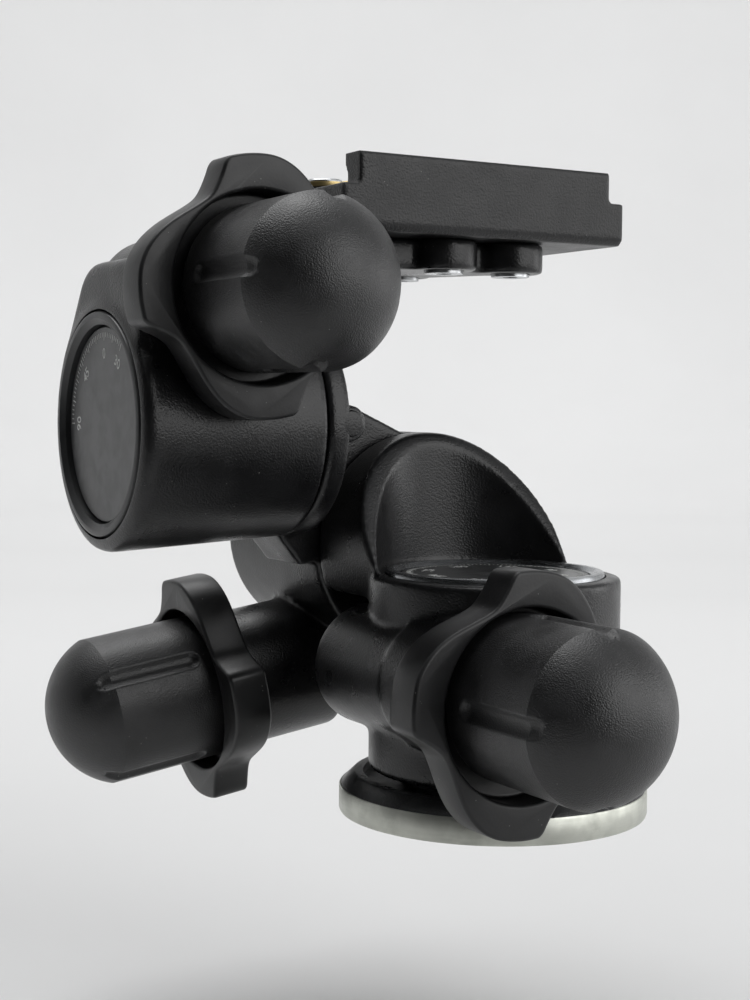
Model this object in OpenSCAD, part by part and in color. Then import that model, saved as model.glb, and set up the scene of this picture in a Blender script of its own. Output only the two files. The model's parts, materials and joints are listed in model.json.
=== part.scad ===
// Geared tripod head: three worm-driven axes stacked on a threaded base, with a
// plate receiver on top. Origin at the centre of the base's seating face, +Z up.
// The pan axis is Z, the tilt axis runs along Y and the side axis along X.

/* [Fits] */
// Radial clearance of a shaft that runs in its bush
running_gap = 0.05; // [0.02:0.01:0.1]
// Radial clearance of a piece that is pressed or glued in
seat_gap = 0.02; // [0.01:0.01:0.04]
// Gap between the faces of two bodies that turn on each other
face_gap = 0.4; // [0.3:0.1:0.8]

/* [Base] */
// Radius of the base disc
base_r = 30; // [28.5:0.5:34]
// Height of the bare metal band of the base disc
base_band_h = 5; // [4:0.5:6]
// Rise of the sloped black ring above the band
collar_rise = 2.4; // [1.6:0.2:3]
// Radius of the sloped ring at its top
collar_top_r = 27; // [25.5:0.5:28]
// Minor diameter of the camera-stand thread
thread_minor_d = 7.94; // [6:0.02:9]
// Depth of the thread insert
thread_depth = 14; // [10:1:17]
// Wall of the thread insert
insert_wall = 1.6; // [1:0.1:2]

/* [Pan stage] */
// Outer radius of the pan housing
pan_r = 24.3; // [23.8:0.1:26]
// Height of the ledge round the pan dial
pan_top_z = 46; // [45:0.5:47]
// Height of the release ring's axis on the pan drive
pan_drive_z = 27.3; // [26.5:0.1:28]
// Module of the pan worm wheel
pan_module = 0.5; // [0.48:0.01:0.52]
// Reach of the pan drive from the wheel to the ring's outer face
pan_reach = 37; // [36.5:0.5:40]
// Radius of the pan spindle
spindle_r = 8; // [7.5:0.25:8.5]

/* [Tilt stage] */
// Height of the tilt axis
tilt_z = 50; // [49.5:0.5:51]
// Radius of the round tilt barrel and of the dome in front of it
barrel_r = 23; // [22.6:0.1:23.4]
// Where the dome ends and the tilt barrel starts, along Y
barrel_y = 30; // [29:0.5:31]
// Length of the tilt barrel
barrel_len = 43.2; // [42:0.2:48]
// Height of the flat underside of the dome block
dome_floor_z = 41; // [40:0.5:42]
// Radius of the scoop in the dome above the pan dial
scoop_r = 23; // [22.4:0.1:23.4]
// Slope of the broad bevel along the scoop's edge, in degrees from upright
scoop_bevel_slope = 34; // [28:1:40]
// Where that bevel crosses the height of the tilt axis, along Y
scoop_bevel_y = 9; // [7:0.5:11]
// Place of the tilt wheel along Y
tilt_wheel_y = 54; // [52:0.5:56]
// Slope of the tilt drive, tip down, in degrees
tilt_slope = 9; // [5:0.5:12]
// Reach of the tilt drive from the wheel to the ring's outer face
tilt_reach = 46; // [45:0.5:50]

/* [Side stage] */
// Place of the side axis along Y
side_y = 28; // [27.5:0.5:30]
// Height of the side axis
side_z = 74.5; // [74:0.5:77]
// Left end of the side barrel, along X
side_left_x = -71; // [-75:0.5:-70]
// Right end of the side barrel, along X
side_right_x = -33; // [-34.5:0.5:-32.5]
// Radius of the side barrel at its left end
side_r = 24; // [23.6:0.1:26]
// Radius of the side barrel and of the flange at the seam
seam_r = 21.6; // [21:0.1:21.8]
// Thickness of the tilt flange that carries the side axis
flange_t = 4.5; // [4:0.1:5]
// Place of the side wheel along X
side_wheel_x = -51; // [-52:0.5:-50]
// Reach of the side drive from the wheel to the ring's outer face
side_reach = 31.5; // [31.5:0.5:35]

/* [Worm drives] */
// Teeth on each worm wheel
wheel_teeth = 48; // [48:2:48]
// Module of the tilt and side worm wheels
drive_module = 0.8; // [0.78:0.01:0.81]
// Pitch radius of the worms
worm_pitch_r = 5.4; // [5.2:0.1:5.5]
// How far the tooth tips and the thread crest pass each other
mesh_depth = 0.4; // [0.2:0.05:0.5]
// Thickness of the pan worm wheel
pan_wheel_t = 5; // [4:0.5:6]
// Thickness of the tilt and side worm wheels
drive_wheel_t = 6; // [5:0.5:7]
// Length of the worm thread
worm_len = 14; // [12:1:16]
// Radius of the worm shafts
worm_shaft_r = 3; // [2.6:0.1:3.2]
// Offset between the worm's axis and the release ring's axis
eccentricity = 1; // [0.8:0.05:1.2]
// Outer radius of the eccentric sleeve
sleeve_r = 8.6; // [8.5:0.05:8.8]
// Radius of the worm housings
tube_r = 12; // [11.8:0.1:12.4]
// Distance from the wheel to the closed end of a worm housing
tube_back = 20; // [19:0.5:22]

/* [Release rings] */
// Thickness of a release ring
ring_t = 8; // [7.5:0.25:9]
// Radius of the hole round the knob
ring_hole_r = 17; // [16.6:0.1:17.4]
// Radius of the ring between its lobes
ring_valley_r = 18.4; // [18.2:0.1:19]
// Radius of the four thumb lobes
ring_lobe_r = 23.4; // [22.5:0.1:24]
// Angle over which a lobe drops to the valley, in degrees
lobe_drop = 18; // [14:1:22]
// Angle from one drop's start to the full radius of the next lobe
lobe_full = 70; // [60:1:76]
// Place of the pan ring's lobes round its axis, in degrees
pan_lobes_at = 8; // [0:1:20]
// Place of the tilt ring's lobes round its axis, in degrees
tilt_lobes_at = 15; // [8:1:20]
// Place of the side ring's lobes round its axis, in degrees
side_lobes_at = 18; // [8:1:24]
// Thickness of the ring's floor
ring_floor = 2; // [1.6:0.1:2.4]

/* [Knobs] */
// Radius of a knob
knob_r = 15; // [14:0.1:15.3]
// Length of a knob that stands out of its ring, up to the dome
knob_grip = 20; // [16:0.5:26]
// Height of the domed end
knob_dome = 10; // [8:0.5:12]
// Depth of the four flutes
flute_depth = 1.1; // [0.6:0.1:1.6]
// Radius of the flute cutter
flute_r = 1.8; // [1.4:0.1:2.4]

/* [Dials] */
// Radius of a dial plate
dial_r = 18.4; // [17.5:0.1:18.6]
// Outer radius of the bevelled ring round a dial
dial_ring_r = 21.2; // [20.8:0.1:21.5]
// Thickness of a dial plate
dial_t = 1.2; // [1:0.1:1.5]

/* [Platform] */
// Left end of the platform, along X
plat_x = -31.4; // [-32:0.2:-30]
// Length of the platform
plat_len = 65.4; // [64:0.2:72]
// Front face of the platform, along Y
plat_y = 5; // [5:0.5:7]
// Depth of the platform
plat_depth = 54; // [52:0.5:58]
// Height of the platform's underside
plat_z = 111.4; // [111:0.2:114]
// Height of the camera plate's seat above the underside
seat_h = 9; // [8:0.5:10]
// Rise of that seat above the deck round it
seat_rise = 0.4; // [0.2:0.1:0.6]
// Height of the front and rear rails above the seat
rail_h = 5.6; // [5:0.2:7]
// Thickness of the rails
rail_t = 5; // [4:0.25:6]
// Step at each end of the rails
rail_step = 3.5; // [2:0.25:5]
// Undercut of the rails that holds the camera plate
rail_undercut = 1.2; // [0.8:0.1:1.6]
// Place of the clamp lever's pivot from the left end
pivot_dx = 11; // [10.5:0.25:12]
// Place of the clamp lever's pivot from the front face
pivot_dy = 28; // [26:0.5:30]
// Length of the clamp lever's arm
lever_len = 36; // [30:1:42]
// Height of the screw bosses under the platform
boss_h = 6; // [5:0.25:7]
// Radius of the screw bosses under the platform
boss_r = 6.6; // [6:0.1:7.2]

/* [Hidden] */
$fn = 64;
eps = 0.01;

casting_black = "#1b1b1c";
ring_black = "#141415";
knob_black = "#202022";
dial_grey = "#2b2c2e";
steel = "#9ea1a6";
bronze = "#b08d57";
brass = "#c9a24a";
band_metal = "#b9bbb4";

// Base: the disc, its sloped collar and the spindle's foot
base_top_z = base_band_h + collar_rise;
pan_bottom_z = base_top_z + 0.8;
foot_r = spindle_r + 7;
foot_z = 3;
insert_r = thread_minor_d / 2 + insert_wall;
base_screw_r = 1.5;
base_screw_circle = spindle_r + 3.8;
base_screw_bite = 3.5;
base_head_r = 2.6;
base_head_z = 1.4;
base_head_sink = 0.3;
screw_play = 0.2;
rim_bevel = 0.4;

// Worm wheels: pitch radii, tips and the distance from worm to wheel
pan_pitch_r = wheel_teeth * pan_module / 2;
drive_pitch_r = wheel_teeth * drive_module / 2;
pan_centre = pan_pitch_r + worm_pitch_r;
drive_centre = drive_pitch_r + worm_pitch_r;
pan_tip_r = pan_pitch_r + mesh_depth / 2;
drive_tip_r = drive_pitch_r + mesh_depth / 2;
crest_r = worm_pitch_r + mesh_depth / 2;
pan_wheel_z = pan_drive_z + eccentricity;
wheel_room = 0.7;

// Pan housing: the bore that takes the wheel, closed below by a plate
pan_bore_r = pan_tip_r + wheel_room;
pan_bore_z = pan_wheel_z + pan_wheel_t / 2 + 0.6;
bush_wall = 2;
pan_bush_z = base_top_z + 0.3;
pan_bush_low_top = pan_drive_z - sleeve_r - 0.6;
dial_floor_z = pan_top_z - 2;
dial_ring_proud = 1;
dial_post_r = 4;
dial_seat_h = 1;
dome_front_y = 6;
dome_bevel_drop = 15;

// Dial rings: play round the plate, outer chamfer, lip and dip towards the plate
dial_play = 0.3;
dial_chamfer = 0.5;
dial_lip = 0.6;
dial_dip = 0.9;

// Tilt and side barrels: the wheel room, its end plate and the dial's recess
axle_r = 7;
axle_flange_r = 13;
axle_flange_t = 2.4;
axle_screw_r = 1.1;
axle_screw_circle = axle_flange_r - 3;
axle_head_r = 2;
axle_head_t = 1.2;
drive_bore_r = drive_tip_r + 0.6;
drive_wheel_half = drive_wheel_t / 2 + 0.5;
end_plate_t = 3;
dial_recess = 3;
barrel_face_y = barrel_y + face_gap;
barrel_end_y = barrel_y + barrel_len;
tilt_bore_y = tilt_wheel_y - drive_wheel_half;
side_face_x = side_right_x - face_gap;
side_bore_x = side_wheel_x + drive_wheel_half;
flange_right_x = side_right_x + flange_t;
pin_x = flange_right_x + 1;
pin_z = side_z + 0.5;
pin_r = 2.6;
pin_front_y = side_y - 20;
pin_len = 8;
neck_round_r = 10;
neck_rise = 6;
neck_front = 20;
neck_back = 21;
neck_shoulder = 14;
web_t = 16;
web_rise = 10;

// Sleeve and its worm: lengths along the drive, from the wheel outwards
cavity_half = worm_len / 2 + 2.6;
window_half = 12.5;
window_x = 2.4;
sleeve_back = tube_back - 3.5;
bush_len = 5;
front_bush_z = cavity_half + 0.4;
sleeve_flange_r = 13;
sleeve_flange_t = 1.4;
ring_screw_r = 0.9;
ring_screw_circle = sleeve_r + 2.2;
thin_shaft_bush = 1.7;
worm_clearance = 0.5;
spring_r = 10.2;
spring_wire_r = 0.5;
spring_turns = 4;
spring_room_r = 11.1;
spring_room_len = 7;
spring_steps = 16;
spring_sides = 6;
worm_steps = 20;
collar_tube_r = tube_r + 0.8;
collar_len = 22;

// Knob: where it starts inside the ring's cup
knob_sink = ring_t - ring_floor - sleeve_flange_t - 0.8;
knob_wall = 2.2;
hub_r = 6.5;
insert_hub_r = 5;
insert_len = 12;

// Platform: heights and the screws' places
plat_right_x = plat_x + plat_len;
plat_back_y = plat_y + plat_depth;
seat_z = plat_z + seat_h;
rail_z = seat_z + rail_h;
deck_h = seat_h - seat_rise;
deck_z = plat_z + deck_h;
rail_full_h = rail_h + seat_rise;
rail_lip = 1.2;
pivot_x = plat_x + pivot_dx;
pivot_y = plat_y + pivot_dy;
seat_x = pivot_x + 8;
seat_margin = rail_t + rail_undercut + 0.2;
arm_z = plat_z - boss_h;
arm_len = 18;
arm_root = 13;
arm_depth = 33;
arm_right_x = plat_x + arm_len;
arm_back_y = plat_y + arm_depth;
boss_dy = 11;
boss_left_dx = 29;
boss_right_dx = 45;
boss_back_dx = 32;
boss_at = [
    [plat_x + boss_left_dx, plat_y + boss_dy],
    [plat_x + boss_right_dx, plat_y + boss_dy],
    [plat_x + boss_back_dx, arm_back_y]
];
screw_r = 2;
screw_bite = 5;
screw_head_r = 3.9;
screw_head_h = 2.4;
hex_r = 1.7;
pivot_r = 2.5;
hub_plate_r = 6.5;
lever_half_w = 4;
lever_top = 1.9;
thumb_rise = 3;
cam_top = 3.1;
cam_offset = 1.4;
well_floor = 2;
catch_x = pivot_x;
catch_y = pivot_y - 11;
catch_r = 2.4;
catch_travel = 1.6;
catch_rise = 2;
vial_r = 1.6;
vial_len = 14;
vial_x = plat_right_x - 30;
vial_y = plat_back_y - rail_t / 2;
vial_drop = 2;
vial_z = rail_z - vial_drop;
rear_rail_x = pivot_x + 10;
pocket_left = 29;
pocket_right = 11;
pocket_depth = 1.2;
pocket_x = plat_x + pocket_left;
pocket_margin = rail_t + 8;
plat_bevel = 1.2;

// ---- Placing the drives: each is built with the ring's axis on Z, the knob
// ---- towards +Z and the wheel's centre at +X
module at_pan() {
    translate([0, 0, pan_drive_z]) rotate([90, 0, 0]) translate([-pan_centre, 0, 0]) children();
}
module at_tilt() {
    translate([0, tilt_wheel_y - eccentricity, tilt_z]) rotate([0, -(90 + tilt_slope), 0])
        translate([-drive_centre, 0, 0]) children();
}
module at_side() {
    translate([side_wheel_x - eccentricity, side_y, side_z]) rotate([90, 90, 0])
        translate([-drive_centre, 0, 0]) children();
}
module at_worm() {
    translate([0, eccentricity, 0]) children();
}

// ---- Round shapes along an axis
module tube(r_out, r_in, z0, z1) {
    translate([0, 0, z0]) difference() {
        cylinder(r = r_out, h = z1 - z0);
        translate([0, 0, -eps]) cylinder(r = r_in, h = z1 - z0 + 2 * eps);
    }
}
module rod(r, z0, z1) {
    translate([0, 0, z0]) cylinder(r = r, h = z1 - z0);
}
// A cylinder with a small bevel at both ends
module bevelled_rod(r, z0, z1, bevel) {
    h = z1 - z0;
    translate([0, 0, z0]) rotate_extrude()
        polygon([[0, 0], [r - bevel, 0], [r, bevel], [r, h - bevel], [r - bevel, h], [0, h]]);
}
module along_y(x, z) {
    translate([x, 0, z]) rotate([-90, 0, 0]) children();
}
module along_x(y, z) {
    translate([0, y, z]) rotate([0, 90, 0]) children();
}
// Copies on a circle, the first at angle start
module ring_of(count, radius, start = 0) {
    for (k = [0:count - 1]) rotate(start + 360 * k / count) translate([radius, 0, 0]) children();
}

// ---- Worm wheel and worm
// Outline of a wheel with trapezoid teeth, one of them at 180 degrees
function tooth_points(k, module_size, tip_r) =
    let (root = tip_r - 1.3 * module_size, step = 360 / wheel_teeth, mid = k * step)
    [for (p = [[root, -0.27], [tip_r, -0.15], [tip_r, 0.15], [root, 0.27]])
        [p[0] * cos(mid + p[1] * step), p[0] * sin(mid + p[1] * step)]];
module worm_wheel(module_size, tip_r, thickness, bore) {
    difference() {
        translate([0, 0, -thickness / 2]) linear_extrude(thickness)
            polygon([for (k = [0:wheel_teeth - 1]) each tooth_points(k, module_size, tip_r)]);
        translate([0, 0, -thickness]) cylinder(r = bore, h = 2 * thickness);
    }
}

// Thread of one start as a ribbon round the core, a gap facing the wheel at z = 0
function thread_ring(i, pitch, core) =
    let (a = 360 * i / worm_steps, z = pitch * (i / worm_steps + 0.5))
    [for (p = [[core, -0.26], [crest_r, -0.14], [crest_r, 0.14], [core, 0.26]])
        [p[0] * cos(a), p[0] * sin(a), z + p[1] * pitch]];
module worm_thread(pitch) {
    turns_half = floor((worm_len / 2 - 0.26 * pitch) / pitch - 0.5);
    first = -worm_steps * (turns_half + 1);
    last = worm_steps * turns_half;
    count = last - first;
    core = crest_r - 0.5 * pitch - 0.25;
    points = [for (i = [first:last]) each thread_ring(i, pitch, core)];
    sides = [for (i = [0:count - 1]) for (j = [0:3])
        let (a = 4 * i + j, b = 4 * i + (j + 1) % 4)
        each [[a, b, b + 4], [a, b + 4, a + 4]]];
    ends = [[3, 2, 1, 0], [4 * count, 4 * count + 1, 4 * count + 2, 4 * count + 3]];
    polyhedron(points, concat(sides, ends), convexity = 10);
}
module worm(module_size, reach) {
    pitch = PI * module_size;
    core = crest_r - 0.5 * pitch;
    at_worm() {
        worm_thread(pitch);
        rod(core, -worm_len / 2 - 0.6, worm_len / 2 + 0.6);
        rod(worm_shaft_r + 1.1, -cavity_half + 0.3, cavity_half - 0.3);
        rod(worm_shaft_r, -sleeve_back + 0.4, reach - knob_sink + insert_len - 0.5);
    }
}

// ---- Eccentric sleeve, its bushes, the release ring and its screws
module sleeve(reach) {
    web_z = reach - ring_t + ring_floor;
    difference() {
        union() {
            rod(sleeve_r, -sleeve_back, web_z);
            rod(sleeve_flange_r, web_z, web_z + sleeve_flange_t);
        }
        at_worm() {
            rod(crest_r + worm_clearance, -cavity_half, reach);
            rod(worm_shaft_r + thin_shaft_bush, -sleeve_back - 1, -cavity_half + eps);
        }
        translate([window_x, -sleeve_r - 1, -window_half])
            cube([sleeve_r, 2 * sleeve_r + 2, 2 * window_half]);
        ring_of(3, ring_screw_circle, 60) rod(ring_screw_r + 0.2, web_z - 1, web_z + sleeve_flange_t + 1);
    }
}
module worm_bushes(reach) {
    at_worm() {
        tube(worm_shaft_r + thin_shaft_bush - seat_gap, worm_shaft_r + running_gap,
            -sleeve_back, -cavity_half);
        tube(crest_r + worm_clearance - seat_gap, worm_shaft_r + running_gap,
            front_bush_z, front_bush_z + bush_len);
    }
}
// Radius of the ring's outline at angle u from a lobe's corner: a quick drop, a slow rise
function lobe_r(u) =
    let (rise = ring_lobe_r - ring_valley_r)
    u < lobe_drop ? ring_lobe_r - rise * pow(sin(90 * u / lobe_drop), 0.8)
    : u < lobe_full ? ring_valley_r
        + rise * (1 - cos(180 * (u - lobe_drop) / (lobe_full - lobe_drop))) / 2
    : ring_lobe_r;
module release_ring(reach, lobes_at) {
    back = reach - ring_t;
    difference() {
        translate([0, 0, back]) rotate(lobes_at) linear_extrude(ring_t)
            polygon([for (a = [0:3:357]) lobe_r(a % 90) * [cos(a), sin(a)]]);
        rod(ring_hole_r, back + ring_floor, reach + 1);
        rod(sleeve_r + seat_gap, back - 1, back + ring_floor + 1);
        ring_of(3, ring_screw_circle, 60) rod(ring_screw_r, back - 1, back + ring_floor + 1);
    }
}
module ring_screws(reach) {
    web_z = reach - ring_t + ring_floor;
    ring_of(3, ring_screw_circle, 60) {
        rod(ring_screw_r - seat_gap, reach - ring_t + 0.2, web_z + sleeve_flange_t);
        rod(ring_screw_r + 0.8, web_z + sleeve_flange_t, web_z + sleeve_flange_t + 0.5);
    }
}
// Torsion spring round the sleeve, in the mouth of the worm housing
module release_spring(reach) {
    rise = (spring_room_len - 1.6) / spring_turns;
    z0 = reach - ring_t - face_gap - spring_room_len + 1;
    count = spring_turns * spring_steps;
    points = [for (i = [0:count]) for (j = [0:spring_sides - 1])
        let (a = 360 * i / spring_steps, b = 360 * j / spring_sides)
        let (r = spring_r + spring_wire_r * cos(b))
        [r * cos(a), r * sin(a), z0 + rise * i / spring_steps + spring_wire_r * sin(b)]];
    sides = [for (i = [0:count - 1]) for (j = [0:spring_sides - 1])
        let (a = spring_sides * i + j, b = spring_sides * i + (j + 1) % spring_sides)
        each [[a, b + spring_sides, b], [a, a + spring_sides, b + spring_sides]]];
    ends = [[for (j = [0:spring_sides - 1]) j],
        [for (j = [spring_sides - 1:-1:0]) spring_sides * count + j]];
    polyhedron(points, concat(sides, ends), convexity = 10);
}

// ---- Knob: a domed, fluted cap on a brass insert
function dome_points(r, h) = [for (a = [0:7.5:90]) [r * cos(a), h * sin(a)]];
module knob(reach) {
    z0 = reach - knob_sink;
    shoulder = reach + knob_grip;
    at_worm() difference() {
        rotate_extrude() polygon(concat(
            [[0, z0], [knob_r, z0]],
            [for (p = dome_points(knob_r, knob_dome)) [p[0], shoulder + p[1]]]));
        difference() {
            rod(knob_r - knob_wall - flute_depth, z0 - 1, shoulder - 1);
            rod(hub_r, z0 - 2, shoulder);
        }
        rod(insert_hub_r, z0 - 1, z0 + insert_len);
        ring_of(4, knob_r + flute_r - flute_depth) {
            rod(flute_r, z0 - 1, shoulder + 2.5);
            translate([0, 0, shoulder + 2.5]) sphere(r = flute_r);
        }
    }
}
module knob_insert(reach) {
    z0 = reach - knob_sink;
    at_worm() tube(insert_hub_r - seat_gap, worm_shaft_r + seat_gap, z0, z0 + insert_len - 0.5);
}

// ---- The outside of a worm housing and the room inside it
module drive_tube(reach, collar_r) {
    end = reach - ring_t - face_gap;
    bevelled_rod(tube_r, -tube_back, end - 1, 1.2);
    bevelled_rod(collar_r, end - collar_len, end, 0.8);
}
module drive_room(reach) {
    end = reach - ring_t - face_gap;
    rod(sleeve_r + running_gap, -sleeve_back - 0.4, end + 1);
    rod(spring_room_r, end - spring_room_len, end + 1);
}

// ---- Dials
module dial(at) {
    bevelled_rod(dial_r, at, at + dial_t, 0.2);
}
module dial_ring(floor, top) {
    rotate_extrude() polygon([
        [dial_r + dial_play, floor], [dial_ring_r - seat_gap, floor],
        [dial_ring_r - seat_gap, top - dial_chamfer], [dial_ring_r - dial_chamfer, top],
        [dial_ring_r - dial_chamfer - dial_lip, top], [dial_r + dial_play, top - dial_dip]]);
}

// ---- Base, fixed to the camera stand
module base_disc() {
    color(band_metal) difference() {
        bevelled_rod(base_r, 0, base_band_h, rim_bevel);
        rod(insert_r, -1, base_band_h + 1);
        rod(foot_r + seat_gap, foot_z, base_band_h + 1);
        ring_of(3, base_screw_circle) {
            rod(base_screw_r + screw_play, -1, foot_z + 1);
            rod(base_head_r + screw_play, -1, base_head_z);
        }
    }
}
module base_collar() {
    color(casting_black) difference() {
        translate([0, 0, base_band_h]) cylinder(r1 = base_r - rim_bevel, r2 = collar_top_r, h = collar_rise);
        rod(foot_r + seat_gap, base_band_h - 1, base_top_z + 1);
        tube(pan_r + 0.8, foot_r + 3, base_top_z - 1.2, base_top_z + 1);
    }
}
module thread_insert() {
    color(steel) tube(insert_r - seat_gap, thread_minor_d / 2, 0, thread_depth);
}
module base_screws() {
    color(steel) ring_of(3, base_screw_circle) {
        rod(base_screw_r - seat_gap, base_head_z - 0.4, foot_z + base_screw_bite);
        rod(base_head_r, base_head_sink, base_head_z);
    }
}
module pan_spindle() {
    color(steel) difference() {
        union() {
            rod(foot_r, foot_z, base_top_z);
            rod(spindle_r, foot_z, dial_floor_z + dial_seat_h / 2);
            rod(dial_post_r, dial_floor_z, dial_floor_z + dial_seat_h - 0.1);
        }
        rod(insert_r, foot_z - 1, thread_depth + 0.5);
        ring_of(3, base_screw_circle) rod(base_screw_r, foot_z - 1, foot_z + base_screw_bite + 0.3);
    }
}
module pan_wheel() {
    color(bronze) translate([0, 0, pan_wheel_z])
        worm_wheel(pan_module, pan_tip_r, pan_wheel_t, spindle_r + seat_gap);
}
module pan_dial() {
    color(dial_grey) dial(dial_floor_z + dial_seat_h);
}

// ---- Pan body: the housing round the spindle and the dome in front of the tilt axis
module dome_block() {
    difference() {
        along_y(0, tilt_z) rod(barrel_r, dome_front_y, barrel_y);
        translate([-barrel_r - 1, -1, 0]) cube([2 * barrel_r + 2, barrel_y + 2, dome_floor_z]);
        translate([0, 0, pan_top_z]) cylinder(r = scoop_r, h = tilt_z + barrel_r);
        translate([0, scoop_bevel_y, tilt_z]) rotate([-scoop_bevel_slope, 0, 0])
            translate([-2 * barrel_r, -3 * barrel_r, -dome_bevel_drop])
                cube([4 * barrel_r, 3 * barrel_r, 3 * barrel_r]);
    }
}
module pan_housing() {
    color(casting_black) difference() {
        union() {
            bevelled_rod(pan_r, pan_bottom_z, pan_top_z, 0.6);
            dome_block();
            at_pan() drive_tube(pan_reach, collar_tube_r);
        }
        rod(pan_bore_r, pan_bottom_z - 1, pan_bore_z);
        rod(spindle_r + bush_wall, pan_bore_z - 1, dial_floor_z - 2);
        rod(spindle_r + 1, pan_bore_z - 1, dial_floor_z + 1);
        rod(dial_ring_r, dial_floor_z, pan_top_z + 1);
        at_pan() drive_room(pan_reach);
        along_y(0, tilt_z) {
            rod(axle_flange_r + seat_gap, barrel_y - axle_flange_t, barrel_y + 1);
            ring_of(3, axle_screw_circle, 90) rod(axle_screw_r, barrel_y - axle_flange_t - 2.6, barrel_y);
        }
    }
}
module pan_bushes() {
    color(bronze) {
        tube(pan_bore_r - seat_gap, spindle_r + running_gap, pan_bush_z, pan_bush_low_top);
        tube(spindle_r + bush_wall - seat_gap, spindle_r + running_gap, pan_bore_z, dial_floor_z - 2);
    }
}
module pan_dial_ring() {
    color(steel) dial_ring(dial_floor_z, pan_top_z + dial_ring_proud);
}
module tilt_axle() {
    color(steel) along_y(0, tilt_z) {
        difference() {
            rod(axle_flange_r, barrel_y - axle_flange_t, barrel_y);
            ring_of(3, axle_screw_circle, 90) {
                rod(axle_screw_r + 0.2, barrel_y - axle_flange_t - 1, barrel_y + 1);
                rod(axle_head_r + 0.1, barrel_y - axle_head_t - 0.1, barrel_y + 1);
            }
        }
        rod(axle_r, barrel_y - eps, barrel_end_y - dial_recess + 0.4);
    }
}
module tilt_axle_screws() {
    color(steel) along_y(0, tilt_z) ring_of(3, axle_screw_circle, 90) {
        rod(axle_screw_r - seat_gap, barrel_y - axle_flange_t - 2.4, barrel_y - axle_head_t);
        rod(axle_head_r, barrel_y - axle_head_t - 0.1, barrel_y - 0.1);
    }
}
module tilt_wheel() {
    color(bronze) along_y(0, tilt_z) translate([0, 0, tilt_wheel_y]) rotate([0, 0, 90 - tilt_slope])
        worm_wheel(drive_module, drive_tip_r, drive_wheel_t, axle_r + seat_gap);
}
module tilt_dial() {
    color(dial_grey) along_y(0, tilt_z) dial(barrel_end_y - dial_recess + 0.4);
}

// ---- Tilt body: the barrel on the tilt axle and the flange that carries the side axis
module flange_web() {
    translate([0, barrel_face_y, 0]) rotate([90, 0, 0]) mirror([0, 0, 1]) linear_extrude(web_t)
        polygon([[side_right_x, tilt_z + 4], [side_right_x, side_z + web_rise],
            [flange_right_x, side_z + web_rise],
            [-3, tilt_z + barrel_r], [0, tilt_z], [flange_right_x + 2, tilt_z - 4]]);
}
module tilt_housing() {
    color(casting_black) difference() {
        union() {
            along_y(0, tilt_z) bevelled_rod(barrel_r, barrel_face_y, barrel_end_y, 1);
            along_x(side_y, side_z) bevelled_rod(seam_r, side_right_x, flange_right_x, 0.6);
            flange_web();
            along_y(pin_x, pin_z) bevelled_rod(pin_r + 1, pin_front_y + 0.6, side_y + 4, 0.4);
            at_tilt() drive_tube(tilt_reach, collar_tube_r + 1.6);
        }
        along_y(0, tilt_z) {
            rod(axle_r + bush_wall, barrel_face_y - 1, tilt_bore_y + 1);
            rod(drive_bore_r, tilt_bore_y, barrel_end_y - dial_recess - end_plate_t);
            rod(dial_ring_r, barrel_end_y - dial_recess - end_plate_t - eps, barrel_end_y + 1);
        }
        at_tilt() drive_room(tilt_reach);
        along_x(side_y, side_z) {
            rod(axle_flange_r + seat_gap, side_right_x - 1, side_right_x + axle_flange_t);
            ring_of(3, axle_screw_circle, 60)
                rod(axle_screw_r, side_right_x, side_right_x + axle_flange_t + 1.7);
        }
        along_y(pin_x, pin_z) rod(pin_r, pin_front_y, pin_front_y + pin_len);
    }
}
module tilt_end_plate() {
    color(casting_black) along_y(0, tilt_z)
        tube(dial_ring_r - seat_gap, axle_r + bush_wall, barrel_end_y - dial_recess - end_plate_t,
            barrel_end_y - dial_recess - 0.2);
}
module tilt_bushes() {
    color(bronze) along_y(0, tilt_z) {
        tube(axle_r + bush_wall - seat_gap, axle_r + running_gap, barrel_face_y, tilt_bore_y);
        tube(axle_r + bush_wall - seat_gap, axle_r + running_gap,
            barrel_end_y - dial_recess - end_plate_t, barrel_end_y - dial_recess - 0.2);
    }
}
module tilt_dial_ring() {
    color(dial_grey) along_y(0, tilt_z) dial_ring(barrel_end_y - dial_recess, barrel_end_y + 0.4);
}
module side_axle() {
    color(steel) along_x(side_y, side_z) {
        difference() {
            rod(axle_flange_r, side_right_x, side_right_x + axle_flange_t);
            ring_of(3, axle_screw_circle, 60) {
                rod(axle_screw_r + 0.2, side_right_x - 1, side_right_x + axle_flange_t + 1);
                rod(axle_head_r + 0.1, side_right_x - 1, side_right_x + axle_head_t + 0.1);
            }
        }
        rod(axle_r, side_left_x + dial_recess - 0.4, side_right_x + eps);
    }
}
module side_axle_screws() {
    color(steel) along_x(side_y, side_z) ring_of(3, axle_screw_circle, 60) {
        rod(axle_screw_r - seat_gap, side_right_x + axle_head_t, side_right_x + axle_flange_t + 1.5);
        rod(axle_head_r, side_right_x + 0.1, side_right_x + axle_head_t + 0.1);
    }
}
module side_wheel() {
    color(bronze) along_x(side_y, side_z) translate([0, 0, side_wheel_x])
        worm_wheel(drive_module, drive_tip_r, drive_wheel_t, axle_r + seat_gap);
}
module side_dial() {
    color(dial_grey) along_x(side_y, side_z) dial(side_left_x + dial_recess - 0.4 - dial_t);
}
module stop_pin() {
    color(casting_black) along_y(pin_x, pin_z)
        bevelled_rod(pin_r - seat_gap, pin_front_y, pin_front_y + pin_len, 0.3);
}

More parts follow.
